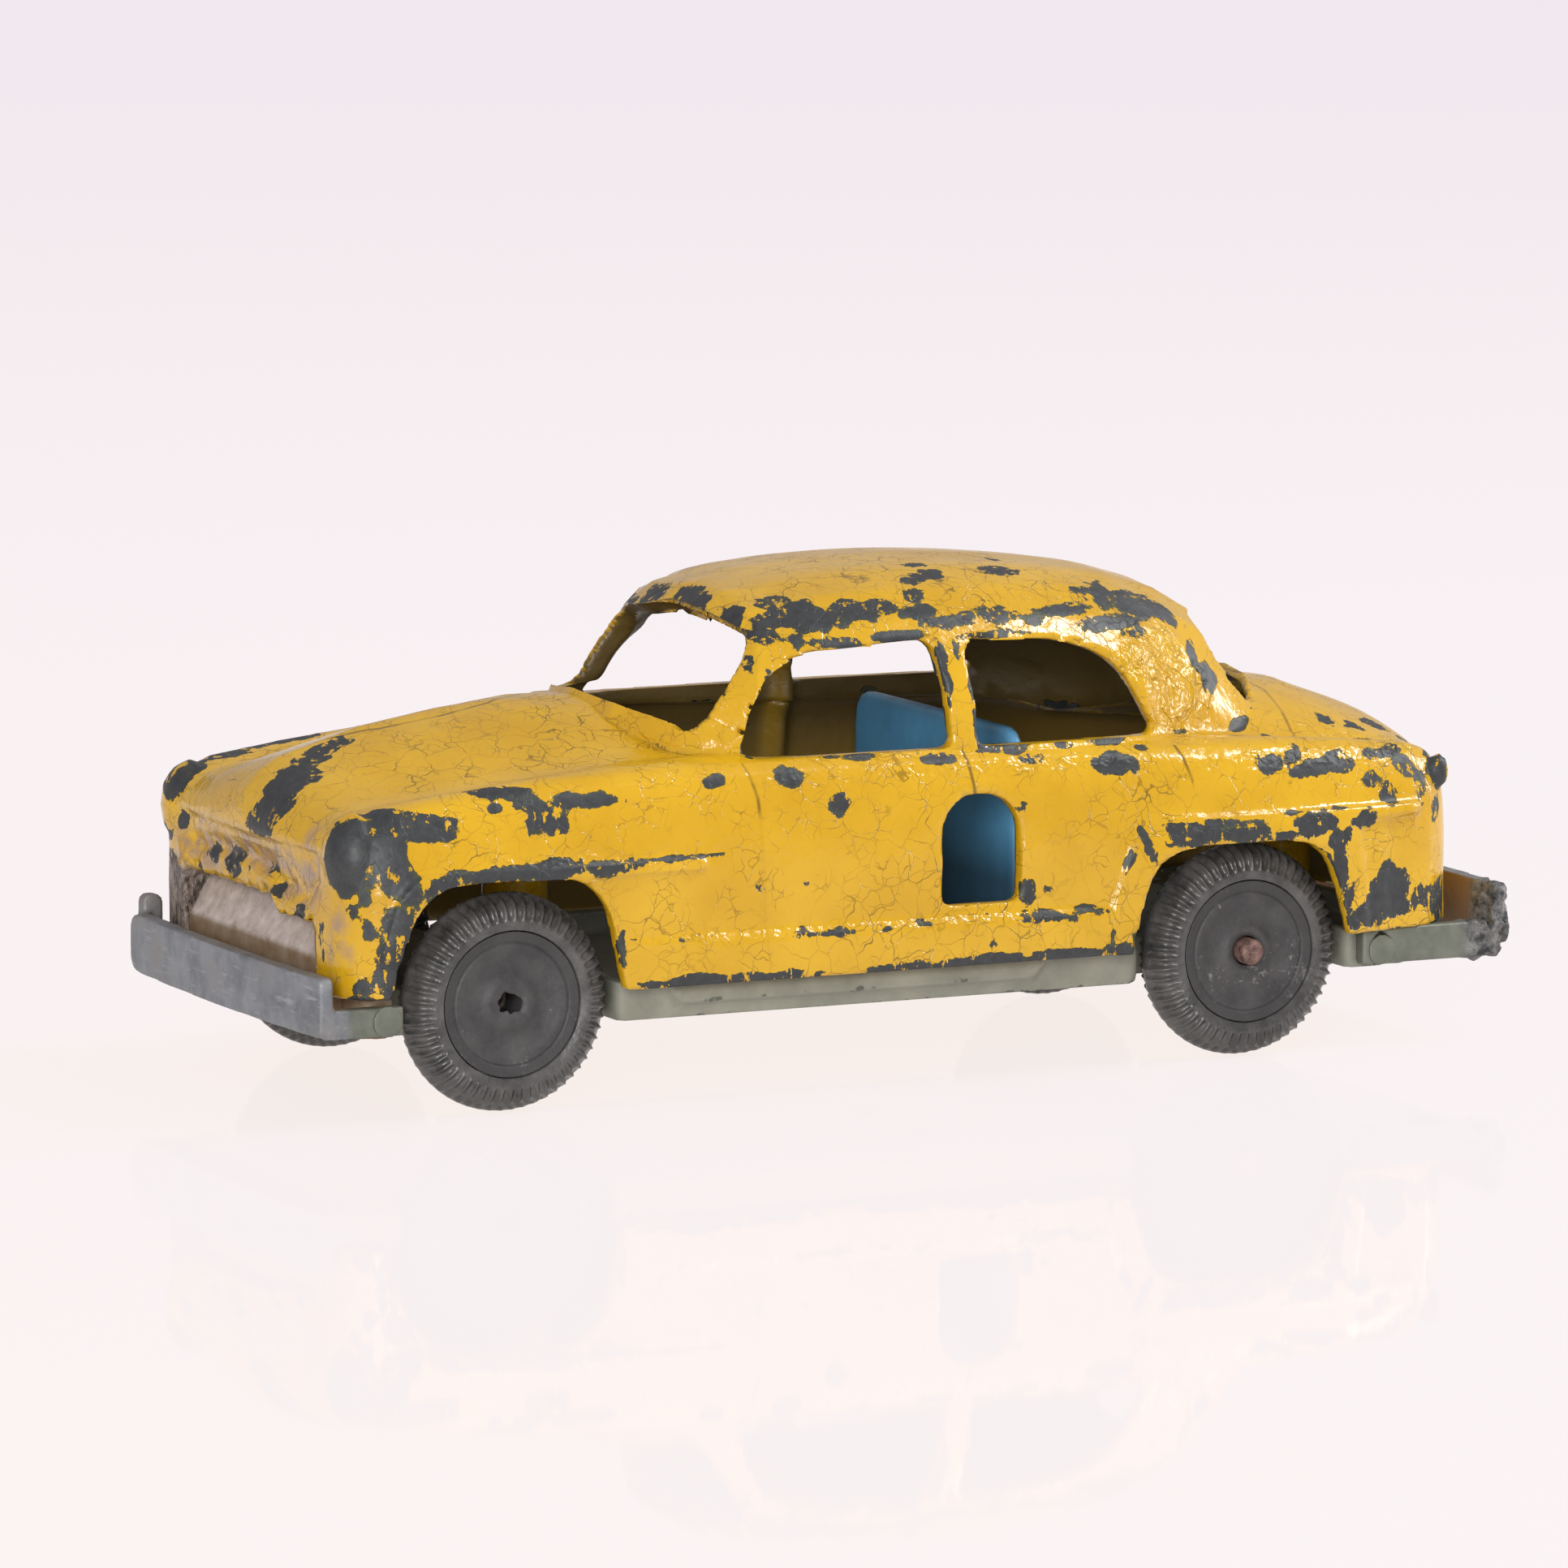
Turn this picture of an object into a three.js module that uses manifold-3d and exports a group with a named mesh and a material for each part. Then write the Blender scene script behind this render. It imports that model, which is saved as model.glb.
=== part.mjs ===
// Toy saloon car: a hollow cast body on a pan-shaped base plate, with two strip bumpers, a sheet seat back
// and two wheelsets that turn in the base plate. Millimetres, +X forward, +Y to the car's left, +Z up.
// The pieces are laid out from the middle of the wheelbase on the ground, and the finished group is moved
// along X so that its origin lies under the middle of the overall length.

import * as THREE from 'three';
import { mergeVertices } from 'three/addons/utils/BufferGeometryUtils.js';
import loadManifold from 'manifold-3d';

const wasm = await loadManifold();
wasm.setup();

// Running gear
const WHEELBASE = 60;
const WHEEL_INSET = 3.1;
const WHEEL_SIDES = 32;
const TYRE_RADIUS = 7.98;
const TYRE_WIDTH = 4.5;
const TYRE_SEAT_RADIUS = 5.3;
const HUB_RIM_WIDTH = 3.6;
const HUB_DISH = 0.7;
const HUB_BOSS_RADIUS = 2.1;
const HUB_GROOVE = 0.75;
const AXLE_RADIUS = 1.0;
const AXLE_STICK_OUT = 1.4;
const FRONT_AXLE_SINK = 1.1;
const AXLE_SIDES = 16;

// Clearances
const FIT_GAP = 0.2;
const PRESS_GAP = 0.12;
const BORE_GAP = 0.2;
const WHEEL_GAP = 0.3;

// Body casting
const WALL = 1.3;
const NOSE_WALL = 2.4;
const NOSE_OVERHANG = 14.0;
const TAIL_OVERHANG = 20.5;
const NOSE_ROUND = 3.4;
const TAIL_ROUND = 3.6;
const NOSE_SAG = 1.45;
const TAIL_SAG = 3.8;
const SILL_HEIGHT = 9.0;
const ROCKER_HEIGHT = 12.0;
const SHOULDER_HEIGHT = 24.4;
const BELT_DROP = 1.7;
const HOOD_RISE = 3.7;
const TRUNK_RISE = 2.8;
const ROOF_HEIGHT = 37.0;
const DOOR_HALF_WIDTH = 18.6;
const SILL_LEDGE = 0.5;
const FLARE_RELIEF = 0.45;
const CABIN_INSET = 1.8;
const COWL_SET_BACK = 12.6;
const CABIN_TAIL = 7.2;
const PILLAR_X = -6.5;
const PILLAR_WIDTH = 2.1;
const WINDOW_DROP = 5.0;
const FRONT_WINDOW_GAP = 6.4;
const FRONT_WINDOW_RAKE = 3.8;
const REAR_WINDOW_GAP = 14.1;
const REAR_WINDOW_RAKE = 7.9;
const REAR_WINDOW_SHOULDER = 3.3;
const REAR_WINDOW_DROP = 1.8;
const REAR_FENDER_REACH = 14.0;
const POST_RADIUS = 2.5;
const POST_BORE_DEPTH = 4;
const FRONT_POST_GAP = 2.5;
const REAR_POST_GAP = 6.5;

// Wheel arches
const ARCH_FRONT_TOP = 17.1;
const ARCH_REAR_TOP = 16.4;
const ARCH_HALF_LENGTH = 8.7;
const ARCH_CORNER = 4.2;
const FRONT_ARCH_LEAN = 0.7;
const REAR_ARCH_LEAN = 1.6;
const FLARE_FRONT_MARGIN = 0.9;
const FLARE_REAR_MARGIN = 2.1;
const FLARE_TAIL = 14.5;

// Nose: the scooped mouth and the lamps cast with the body
const NOSE_LIP = 18.9;
const MOUTH_TOP = 14.6;
const MOUTH_INSET = 6.2;
const MOUTH_SET_BACK = 1.9;
const SCOOP_INSET = 0.7;
const HEADLAMP_RADII = [2.2, 2.7, 3.4];
const HEADLAMP_HEIGHT = 19.0;
const HEADLAMP_INSET = 3.6;
const HEADLAMP_PROUD = 0.6;
const TAIL_LAMP_RADII = [0.9, 0.9, 1.4];
const TAIL_LAMP_INSET = 2.3;
const TAIL_LAMP_DROP = 4.0;
const TAIL_LAMP_SINK = 1.1;

// Door hole, in the left side only
const HOLE_WIDTH = 6.4;
const HOLE_BOTTOM = 13.1;
const HOLE_TOP = 21.1;
const HOLE_SET_BACK = 0.6;

// Base plate
const BASE_BOTTOM = 6.0;
const BASE_FLOOR = 1.2;
const BASE_RIM_TOP = 8.8;
const BASE_WALL = 1.2;
const BASE_INSET = 2.2;
const BASE_NOSE_GAP = 2.8;
const BASE_TAIL_GAP = 1.9;
const BASE_FRONT_CORNER = 0.8;
const BASE_REAR_CORNER = 4.0;
const BASE_TYRE_GAP = 0.7;
const WAIST_GAP = 0.85;
const HOUSING_WALL = 1.8;
const PANEL_RELIEF = 0.6;
const GRILLE_RISE = 1.0;
const GRILLE_LEDGE = 11.4;
const GRILLE_STEP = 0.8;
const GRILLE_OVERLAP = 2.2;
const GRILLE_GAP = 0.4;

// Bumpers
const BUMPER_THICKNESS = 1.2;
const BUMPER_BOW = 0.6;
const BUMPER_FRONT_STANDOFF = 1.8;
const BUMPER_REAR_STANDOFF = 1.9;
const BUMPER_FRONT_BOTTOM = 6.5;
const BUMPER_REAR_BOTTOM = 7.4;
const BUMPER_HEIGHT = 4.3;
const BUMPER_CORNER = 1.6;
const RETURN_HEIGHT = 2.1;
const EAR_LENGTH = 1.6;
const EAR_RISE = 1.4;

// Seat back and fasteners
const SEAT_SET_BACK = 6.3;
const SEAT_THICKNESS = 1.0;
const SEAT_SIDE_GAP = 5.4;
const SEAT_TOP = 25.0;
const SEAT_CORNER = 2.4;
const SEAT_FOOT = 6.5;
const SEAT_RIVET_SPREAD = 10;
const RIVET_RADIUS = 1.0;
const RIVET_HEAD_RADIUS = 2.0;
const RIVET_HEAD = 0.7;
const SMALL_RIVET_RADIUS = 0.7;
const SMALL_RIVET_HEAD_RADIUS = 1.2;
const SMALL_RIVET_HEAD = 0.5;
const RIVET_TAIL = 0.8;
const RIVET_SIDES = 12;

// Places that follow from the sizes above
const FRONT_AXLE_X = WHEELBASE / 2;
const REAR_AXLE_X = -WHEELBASE / 2;
const AXLE_HEIGHT = TYRE_RADIUS * Math.cos(Math.PI / WHEEL_SIDES);
const WHEEL_TRACK = 2 * (DOOR_HALF_WIDTH - WHEEL_INSET);
const HUB_FACE_Y = WHEEL_TRACK / 2 + HUB_RIM_WIDTH / 2;
const AXLE_END_Y = HUB_FACE_Y + AXLE_STICK_OUT;
const NOSE_X = FRONT_AXLE_X + NOSE_OVERHANG;
const TAIL_X = REAR_AXLE_X - TAIL_OVERHANG;
const COWL_X = FRONT_AXLE_X - COWL_SET_BACK;
const CABIN_REAR_X = REAR_AXLE_X - CABIN_TAIL;
const HOLE_X = PILLAR_X - HOLE_SET_BACK;
const SEAT_X = PILLAR_X - SEAT_SET_BACK;
const SEAT_RIVET_X = SEAT_X + SEAT_THICKNESS / 2 + SEAT_FOOT / 2;
const REAR_FENDER_X = REAR_AXLE_X + REAR_FENDER_REACH;
const BELT_HEIGHT = SHOULDER_HEIGHT - BELT_DROP;
const HOOD_HEIGHT = SHOULDER_HEIGHT + HOOD_RISE;
const TRUNK_HEIGHT = SHOULDER_HEIGHT + TRUNK_RISE;
const WINDOW_TOP = ROOF_HEIGHT - WINDOW_DROP;
const CABIN_HALF_WIDTH = DOOR_HALF_WIDTH - CABIN_INSET;
const NOSE_BOW = NOSE_SAG / DOOR_HALF_WIDTH ** 2;
const TAIL_BOW = TAIL_SAG / DOOR_HALF_WIDTH ** 2;
const MOUTH_HALF_WIDTH = DOOR_HALF_WIDTH - MOUTH_INSET;
const SCOOP_HALF_WIDTH = MOUTH_HALF_WIDTH - SCOOP_INSET;
const HEADLAMP_Y = DOOR_HALF_WIDTH - HEADLAMP_INSET;
const GRILLE_HALF_WIDTH = MOUTH_HALF_WIDTH + GRILLE_OVERLAP;
const SEAT_HALF_WIDTH = DOOR_HALF_WIDTH - SEAT_SIDE_GAP;
const FLOOR_TOP = BASE_BOTTOM + BASE_FLOOR;
const BASE_HALF_WIDTH = DOOR_HALF_WIDTH - BASE_INSET;
const BASE_WAIST = WHEEL_TRACK / 2 - TYRE_WIDTH / 2 - WAIST_GAP;
const BASE_FRONT_X = NOSE_X - BASE_NOSE_GAP;
const BASE_REAR_X = TAIL_X + BASE_TAIL_GAP;
const BASE_CLEAR = TYRE_RADIUS + BASE_TYRE_GAP;
const HOUSING_RADIUS = AXLE_RADIUS + BORE_GAP + HOUSING_WALL;
const FRONT_POST_X = FRONT_AXLE_X - HOUSING_RADIUS - POST_RADIUS - FRONT_POST_GAP;
const REAR_POST_X = REAR_AXLE_X - HOUSING_RADIUS - POST_RADIUS - REAR_POST_GAP;
const BUMPER_FRONT_X = NOSE_X + BUMPER_FRONT_STANDOFF;
const BUMPER_REAR_X = TAIL_X - BUMPER_REAR_STANDOFF;
const BUMPER_RETURN_Y = BASE_HALF_WIDTH + FIT_GAP;
const BUMPER_HALF_WIDTH = BUMPER_RETURN_Y + BUMPER_THICKNESS;
const RIVET_HEIGHT = (BASE_BOTTOM + BASE_RIM_TOP) / 2;
const FAR = 200;

// Closed solids, joined and cut

function solid(geometry) {
  geometry.deleteAttribute('normal');
  geometry.deleteAttribute('uv');
  const merged = mergeVertices(geometry);
  const vertProperties = new Float32Array(merged.attributes.position.array);
  const triVerts = new Uint32Array(merged.index.array);
  return new wasm.Manifold(new wasm.Mesh({ numProp: 3, vertProperties, triVerts }));
}

function join(solids) {
  return solids.reduce((whole, next) => whole.add(next));
}

function cut(whole, tools) {
  return tools.reduce((rest, tool) => rest.subtract(tool), whole);
}

function shapeOf(points) {
  return new THREE.Shape(points.map(([a, b]) => new THREE.Vector2(a, b)));
}

// A closed outline with each corner rounded by its own radius: corners are [a, b, radius].
function roundedShape(corners) {
  const path = new THREE.Shape();
  corners.forEach(([a, b, radius = 0], i) => {
    const here = new THREE.Vector2(a, b);
    const before = new THREE.Vector2(...corners.at(i - 1));
    const after = new THREE.Vector2(...corners[(i + 1) % corners.length]);
    const back = before.sub(here);
    const ahead = after.sub(here);
    const reach = Math.min(radius, back.length() / 2.05, ahead.length() / 2.05);
    const start = here.clone().add(back.setLength(reach));
    const end = here.clone().add(ahead.setLength(reach));
    if (i === 0) path.moveTo(start.x, start.y);
    else path.lineTo(start.x, start.y);
    if (radius > 0) path.quadraticCurveTo(a, b, end.x, end.y);
  });
  path.closePath();
  return path;
}

function extrude(shape, depth, curveSegments = 5) {
  return new THREE.ExtrudeGeometry(shape, { depth, bevelEnabled: false, curveSegments });
}

// An outline in X and Z, run across the car from one Y to another.
function across(shape, yLow, yHigh, curveSegments) {
  const turn = new THREE.Matrix4().makeBasis(
    new THREE.Vector3(1, 0, 0), new THREE.Vector3(0, 0, 1), new THREE.Vector3(0, -1, 0));
  return solid(extrude(shape, yHigh - yLow, curveSegments).applyMatrix4(turn).translate(0, yHigh, 0));
}

// An outline in Y and Z, run along the car from one X to another.
function lengthwise(shape, xLow, xHigh, curveSegments) {
  const turn = new THREE.Matrix4().makeBasis(
    new THREE.Vector3(0, 1, 0), new THREE.Vector3(0, 0, 1), new THREE.Vector3(1, 0, 0));
  return solid(extrude(shape, xHigh - xLow, curveSegments).applyMatrix4(turn).translate(xLow, 0, 0));
}

// An outline in X and Y, run upwards from one Z to another.
function upright(shape, zLow, zHigh, curveSegments) {
  return solid(extrude(shape, zHigh - zLow, curveSegments).translate(0, 0, zLow));
}

function box(xLow, xHigh, yLow, yHigh, zLow, zHigh) {
  const block = new THREE.BoxGeometry(xHigh - xLow, yHigh - yLow, zHigh - zLow);
  return solid(block.translate((xLow + xHigh) / 2, (yLow + yHigh) / 2, (zLow + zHigh) / 2));
}

function ellipsoid(centre, radii, sides = 12) {
  const ball = new THREE.SphereGeometry(1, sides, sides / 2);
  return solid(ball.scale(...radii).translate(...centre));
}

function rodUp(x, y, radius, zLow, zHigh, sides = RIVET_SIDES) {
  const rod = new THREE.CylinderGeometry(radius, radius, zHigh - zLow, sides);
  return solid(rod.rotateX(Math.PI / 2).translate(x, y, (zLow + zHigh) / 2));
}

function rodAcross(x, z, radius, yLow, yHigh, sides = AXLE_SIDES) {
  const rod = new THREE.CylinderGeometry(radius, radius, yHigh - yLow, sides, 1, false, Math.PI / sides);
  return solid(rod.translate(x, (yLow + yHigh) / 2, z));
}

// A smooth line of values along the car, through hand-placed [x, value] points in rising x.
function along(points) {
  const slope = points.map((point, i) => {
    const before = points[Math.max(i - 1, 0)];
    const after = points[Math.min(i + 1, points.length - 1)];
    return (after[1] - before[1]) / (after[0] - before[0]);
  });
  return (x) => {
    if (x <= points[0][0]) return points[0][1];
    if (x >= points.at(-1)[0]) return points.at(-1)[1];
    const i = points.findIndex((point) => point[0] > x) - 1;
    const span = points[i + 1][0] - points[i][0];
    const t = (x - points[i][0]) / span;
    const keep = t * t * (3 - 2 * t);
    const leave = t * (1 - t) * (1 - t) * span;
    const arrive = t * t * (t - 1) * span;
    return points[i][1] * (1 - keep) + points[i + 1][1] * keep + slope[i] * leave + slope[i + 1] * arrive;
  };
}

function ramp(low, high, value) {
  return THREE.MathUtils.smoothstep(value, low, high);
}

// Moves each point of an open outline sideways by a distance, outwards when it is positive.
function offsetOutline(points, distance) {
  return points.map(([a, b], i) => {
    const before = points[Math.max(i - 1, 0)];
    const after = points[Math.min(i + 1, points.length - 1)];
    const run = Math.hypot(after[0] - before[0], after[1] - before[1]);
    return [
      a - distance * (after[1] - before[1]) / run,
      b + distance * (after[0] - before[0]) / run,
    ];
  });
}

// A closed skin through rings of points that run over the car from its right side to its left.
function loft(rings) {
  const count = rings[0].length;
  const faces = [];
  for (let i = 0; i + 1 < rings.length; i += 1) {
    for (let j = 0; j < count; j += 1) {
      const a = i * count + j;
      const b = i * count + (j + 1) % count;
      faces.push(a, a + count, b, b, a + count, b + count);
    }
  }
  const middles = [rings[0], rings.at(-1)].map((ring) => {
    const low = Math.min(...ring.map((p) => p.z));
    const top = ring[(count - 1) / 2];
    return new THREE.Vector3(top.x, 0, (low + top.z) / 2);
  });
  const last = (rings.length - 1) * count;
  const tailMiddle = rings.length * count;
  for (let j = 0; j < count; j += 1) {
    const next = (j + 1) % count;
    faces.push(tailMiddle, j, next, tailMiddle + 1, last + next, last + j);
  }
  const skin = new THREE.BufferGeometry();
  const points = [...rings.flat(), ...middles];
  skin.setAttribute('position', new THREE.Float32BufferAttribute(points.flatMap((p) => p.toArray()), 3));
  skin.setIndex(faces);
  return solid(skin);
}

function mirrored(half) {
  const right = half.slice(1).reverse().map(([y, z]) => [-y, z]);
  return [...right, ...half];
}

// Lines of the hull along the car, from tail to nose

const crownLine = along([
  [TAIL_X, SHOULDER_HEIGHT - 2.0],
  [TAIL_X + 3.5, SHOULDER_HEIGHT - 0.6],
  [REAR_AXLE_X - 11.5, TRUNK_HEIGHT - 1.4],
  [CABIN_REAR_X + 1.2, TRUNK_HEIGHT],
  [CABIN_REAR_X + 9, SHOULDER_HEIGHT + 1.2],
  [PILLAR_X, SHOULDER_HEIGHT + 0.6],
  [COWL_X - 7, SHOULDER_HEIGHT + 1.6],
  [COWL_X, HOOD_HEIGHT],
  [FRONT_AXLE_X - 5, HOOD_HEIGHT - 0.7],
  [FRONT_AXLE_X + 3.5, HOOD_HEIGHT - 2.0],
  [FRONT_AXLE_X + 9.5, HOOD_HEIGHT - 3.7],
  [NOSE_X, HOOD_HEIGHT - 5.0],
]);

const ridgeLine = along([
  [TAIL_X, SHOULDER_HEIGHT - 2.4],
  [REAR_AXLE_X - 13, SHOULDER_HEIGHT - 1.4],
  [REAR_AXLE_X, SHOULDER_HEIGHT - 0.6],
  [PILLAR_X, SHOULDER_HEIGHT],
  [COWL_X - 2, SHOULDER_HEIGHT + 0.2],
  [FRONT_AXLE_X, SHOULDER_HEIGHT - 0.6],
  [FRONT_AXLE_X + 8, SHOULDER_HEIGHT - 1.6],
  [NOSE_X, SHOULDER_HEIGHT - 2.4],
]);

const valleyDip = along([
  [TAIL_X, 0.1],
  [REAR_AXLE_X - 9, 0.5],
  [CABIN_REAR_X + 10, 0.1],
  [COWL_X - 6, 0.1],
  [FRONT_AXLE_X - 4, 0.5],
  [FRONT_AXLE_X + 8, 0.6],
  [NOSE_X, 0.3],
]);

const sideLine = along([
  [TAIL_X, DOOR_HALF_WIDTH - 0.6],
  [REAR_AXLE_X - 9, DOOR_HALF_WIDTH + 0.2],
  [REAR_AXLE_X + 3, DOOR_HALF_WIDTH + 0.4],
  [REAR_FENDER_X, DOOR_HALF_WIDTH],
  [COWL_X, DOOR_HALF_WIDTH],
  [FRONT_AXLE_X, DOOR_HALF_WIDTH + 0.3],
  [NOSE_X, DOOR_HALF_WIDTH - 0.1],
]);

const beltDrop = along([
  [TAIL_X, 2.6],
  [REAR_AXLE_X, 0.9],
  [REAR_FENDER_X, 0],
  [COWL_X, 0],
  [FRONT_AXLE_X, 0.9],
  [NOSE_X, 2.2],
]);

// How steeply the deck falls off to the fender valley: a lower power is a fuller deck.
const domePower = along([
  [TAIL_X, 0.65],
  [REAR_AXLE_X - 10, 0.42],
  [CABIN_REAR_X + 9, 0.5],
  [COWL_X, 0.75],
]);

const TAIL_BOW_REACH = 26;
const RIDGE_INSET = 2.7;
const VALLEY_INSET = 6.0;
const BELT_INSET = 0.7;
const DOOR_BULGE_HEIGHT = 17.0;
const CREST_PEAK = 0.35;
const CREST_WIDTH = 1.1;
const HULL_FOOT = SILL_HEIGHT / 3;
const FINE = { spans: 14, flankSteps: 9 };
const COARSE = { spans: 10, flankSteps: 6 };

// Half of the hull's section at one x, from the centre line over the fender and down the side.
function hullProfile(x, ledge, flankSteps) {
  const side = sideLine(x);
  const ridge = ridgeLine(x);
  const valley = [side - VALLEY_INSET, ridge - valleyDip(x)];
  const rise = crownLine(x) - valley[1];
  const crest = CREST_PEAK * ramp(COWL_X + 6, FRONT_AXLE_X, x);
  const dome = [0, 0.09, 0.26, 0.46, 0.66, 0.84].map((share) => {
    const y = share * valley[0];
    const swell = (0.5 + 0.5 * Math.cos(Math.PI * share)) ** domePower(x);
    return [y, valley[1] + rise * swell + crest * Math.exp(-((y / CREST_WIDTH) ** 2))];
  });
  const belt = BELT_HEIGHT - beltDrop(x);
  const flank = new THREE.SplineCurve([
    new THREE.Vector2(...valley),
    new THREE.Vector2(side - RIDGE_INSET, ridge),
    new THREE.Vector2(side - BELT_INSET, belt),
    new THREE.Vector2(side + 0.1, DOOR_BULGE_HEIGHT),
    new THREE.Vector2(side - 0.1, ROCKER_HEIGHT + 0.3),
  ]);
  const between = ramp(REAR_AXLE_X + 8, REAR_AXLE_X + 11, x) - ramp(FRONT_AXLE_X - 11, FRONT_AXLE_X - 8, x);
  const sill = side - 0.1 + ledge * between;
  return [
    ...dome,
    ...flank.getPoints(flankSteps).map((p) => [p.x, p.y]),
    [sill, ROCKER_HEIGHT - 0.2],
    [sill, HULL_FOOT],
  ];
}

// The hull as a closed loft, grown or shrunk by a distance, with its ends rounded and bowed in plan.
function hull(grow, noseGrow, ledge, { spans, flankSteps }) {
  const roundSteps = [0, 0.18, 0.4, 0.68, 1].map((share) => share * Math.PI / 2);
  const noseRound = NOSE_ROUND + grow;
  const tailRound = TAIL_ROUND + grow;
  const noseEnd = NOSE_X + noseGrow;
  const tailEnd = TAIL_X - grow;
  const stations = [];
  roundSteps.forEach((a) => {
    stations.push([tailEnd + tailRound * (1 - Math.cos(a)), tailRound * (1 - Math.sin(a))]);
  });
  for (let i = 1; i < spans; i += 1) {
    stations.push([THREE.MathUtils.lerp(tailEnd + tailRound, noseEnd - noseRound, i / spans), 0]);
  }
  roundSteps.toReversed().forEach((a) => {
    stations.push([noseEnd - noseRound * (1 - Math.cos(a)), noseRound * (1 - Math.sin(a))]);
  });
  const rings = stations.map(([x, inset]) => {
    const ring = offsetOutline(mirrored(hullProfile(x, ledge, flankSteps)), grow);
    const narrow = 1 - inset / sideLine(x);
    const lower = 1 - inset / (crownLine(x) - HULL_FOOT);
    const nose = NOSE_BOW * ramp(COWL_X, NOSE_X - NOSE_ROUND, x);
    const tail = TAIL_BOW * (1 - ramp(TAIL_X + TAIL_ROUND, TAIL_X + TAIL_BOW_REACH, x));
    return ring.map(([y, z]) => {
      const height = HULL_FOOT + (z - HULL_FOOT) * lower;
      return new THREE.Vector3(x + (tail - nose) * (y * narrow) ** 2, y * narrow, height);
    });
  });
  return loft(rings);
}

// Lines of the cabin along the car

const roofLine = along([
  [CABIN_REAR_X - 1.2, SHOULDER_HEIGHT + 0.4],
  [CABIN_REAR_X, TRUNK_HEIGHT],
  [CABIN_REAR_X + 2.2, ROOF_HEIGHT - 7.2],
  [CABIN_REAR_X + 4.8, ROOF_HEIGHT - 4.7],
  [CABIN_REAR_X + 8.4, ROOF_HEIGHT - 2.8],
  [CABIN_REAR_X + 14, ROOF_HEIGHT - 1.2],
  [PILLAR_X - 4, ROOF_HEIGHT],
  [PILLAR_X + 7, ROOF_HEIGHT - 0.2],
  [COWL_X - 11, ROOF_HEIGHT - 1.0],
  [COWL_X - 8.2, ROOF_HEIGHT - 1.9],
  [COWL_X - 6.2, ROOF_HEIGHT - 3.1],
  [COWL_X - 3.6, ROOF_HEIGHT - 5.4],
  [COWL_X, HOOD_HEIGHT + 0.2],
  [COWL_X + 1.0, SHOULDER_HEIGHT + 1.6],
]);

const cabinWidth = along([
  [CABIN_REAR_X - 1.2, CABIN_HALF_WIDTH - 5.2],
  [CABIN_REAR_X + 5, CABIN_HALF_WIDTH - 2.8],
  [CABIN_REAR_X + 12, CABIN_HALF_WIDTH - 1.0],
  [PILLAR_X - 8, CABIN_HALF_WIDTH - 0.1],
  [PILLAR_X, CABIN_HALF_WIDTH],
  [COWL_X - 11, CABIN_HALF_WIDTH - 0.2],
  [COWL_X - 6, CABIN_HALF_WIDTH - 0.8],
  [COWL_X + 1.0, CABIN_HALF_WIDTH - 2.0],
]);

const cabinSquareness = along([
  [CABIN_REAR_X, 2.5],
  [PILLAR_X, 2.8],
  [COWL_X - 7, 2.8],
  [COWL_X, 3.0],
]);

const SCREEN_SAG = 7.9;
const SCREEN_BOW_REACH = 10;
const BACKLIGHT_SAG = 11.3;
const BACKLIGHT_BOW_REACH = 18;
const SCREEN_BOW = SCREEN_SAG / CABIN_HALF_WIDTH ** 2;
const BACKLIGHT_BOW = BACKLIGHT_SAG / CABIN_HALF_WIDTH ** 2;
const CABIN_FOOT = 22;
const CABIN_SKIRT = 10;

function cabinProfile(x) {
  const width = cabinWidth(x);
  const height = roofLine(x) - CABIN_FOOT;
  const power = 2 / cabinSquareness(x);
  return [0, 0.16, 0.33, 0.5, 0.64, 0.76, 0.86, 0.94, 1].map((share) => {
    const angle = share * Math.PI / 2;
    return [width * Math.sin(angle) ** power, CABIN_FOOT + height * Math.max(Math.cos(angle), 0) ** power];
  });
}

// The cabin as a closed loft over the hull, grown or shrunk, with a skirt that reaches down into the hull.
function cabin(grow, skirt, steps) {
  const rear = CABIN_REAR_X - 1.2;
  const front = COWL_X + 1.0;
  const rings = [];
  for (let i = 0; i <= steps; i += 1) {
    const share = i / steps;
    const x = rear + (front - rear) * (share - 0.055 * Math.sin(4 * Math.PI * share));
    const top = offsetOutline(mirrored(cabinProfile(x)), grow);
    const foot = top.at(-1)[0];
    const bow = SCREEN_BOW * ramp(COWL_X - SCREEN_BOW_REACH, COWL_X, x);
    const backEnd = CABIN_REAR_X + BACKLIGHT_BOW_REACH;
    const backBow = BACKLIGHT_BOW * (1 - ramp(CABIN_REAR_X + 1, backEnd, x));
    const ring = [[-foot, CABIN_FOOT - skirt], ...top, [foot, CABIN_FOOT - skirt]];
    rings.push(ring.map(([y, z]) => new THREE.Vector3(x + (backBow - bow) * y * y, y, z)));
  }
  return loft(rings);
}

// Openings of the body

function archShape(axleX, top, lean) {
  const length = ARCH_HALF_LENGTH;
  return roundedShape([
    [axleX - length - 0.6 + lean, 0],
    [axleX + length + 0.6 + lean, 0],
    [axleX + length + 0.4 + lean, SILL_HEIGHT, 0.6],
    [axleX + length - 1.4 + lean, top, ARCH_CORNER],
    [axleX - length + 1.4 + lean, top, ARCH_CORNER],
    [axleX - length - 0.4 + lean, SILL_HEIGHT, 0.6],
  ]);
}

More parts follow.
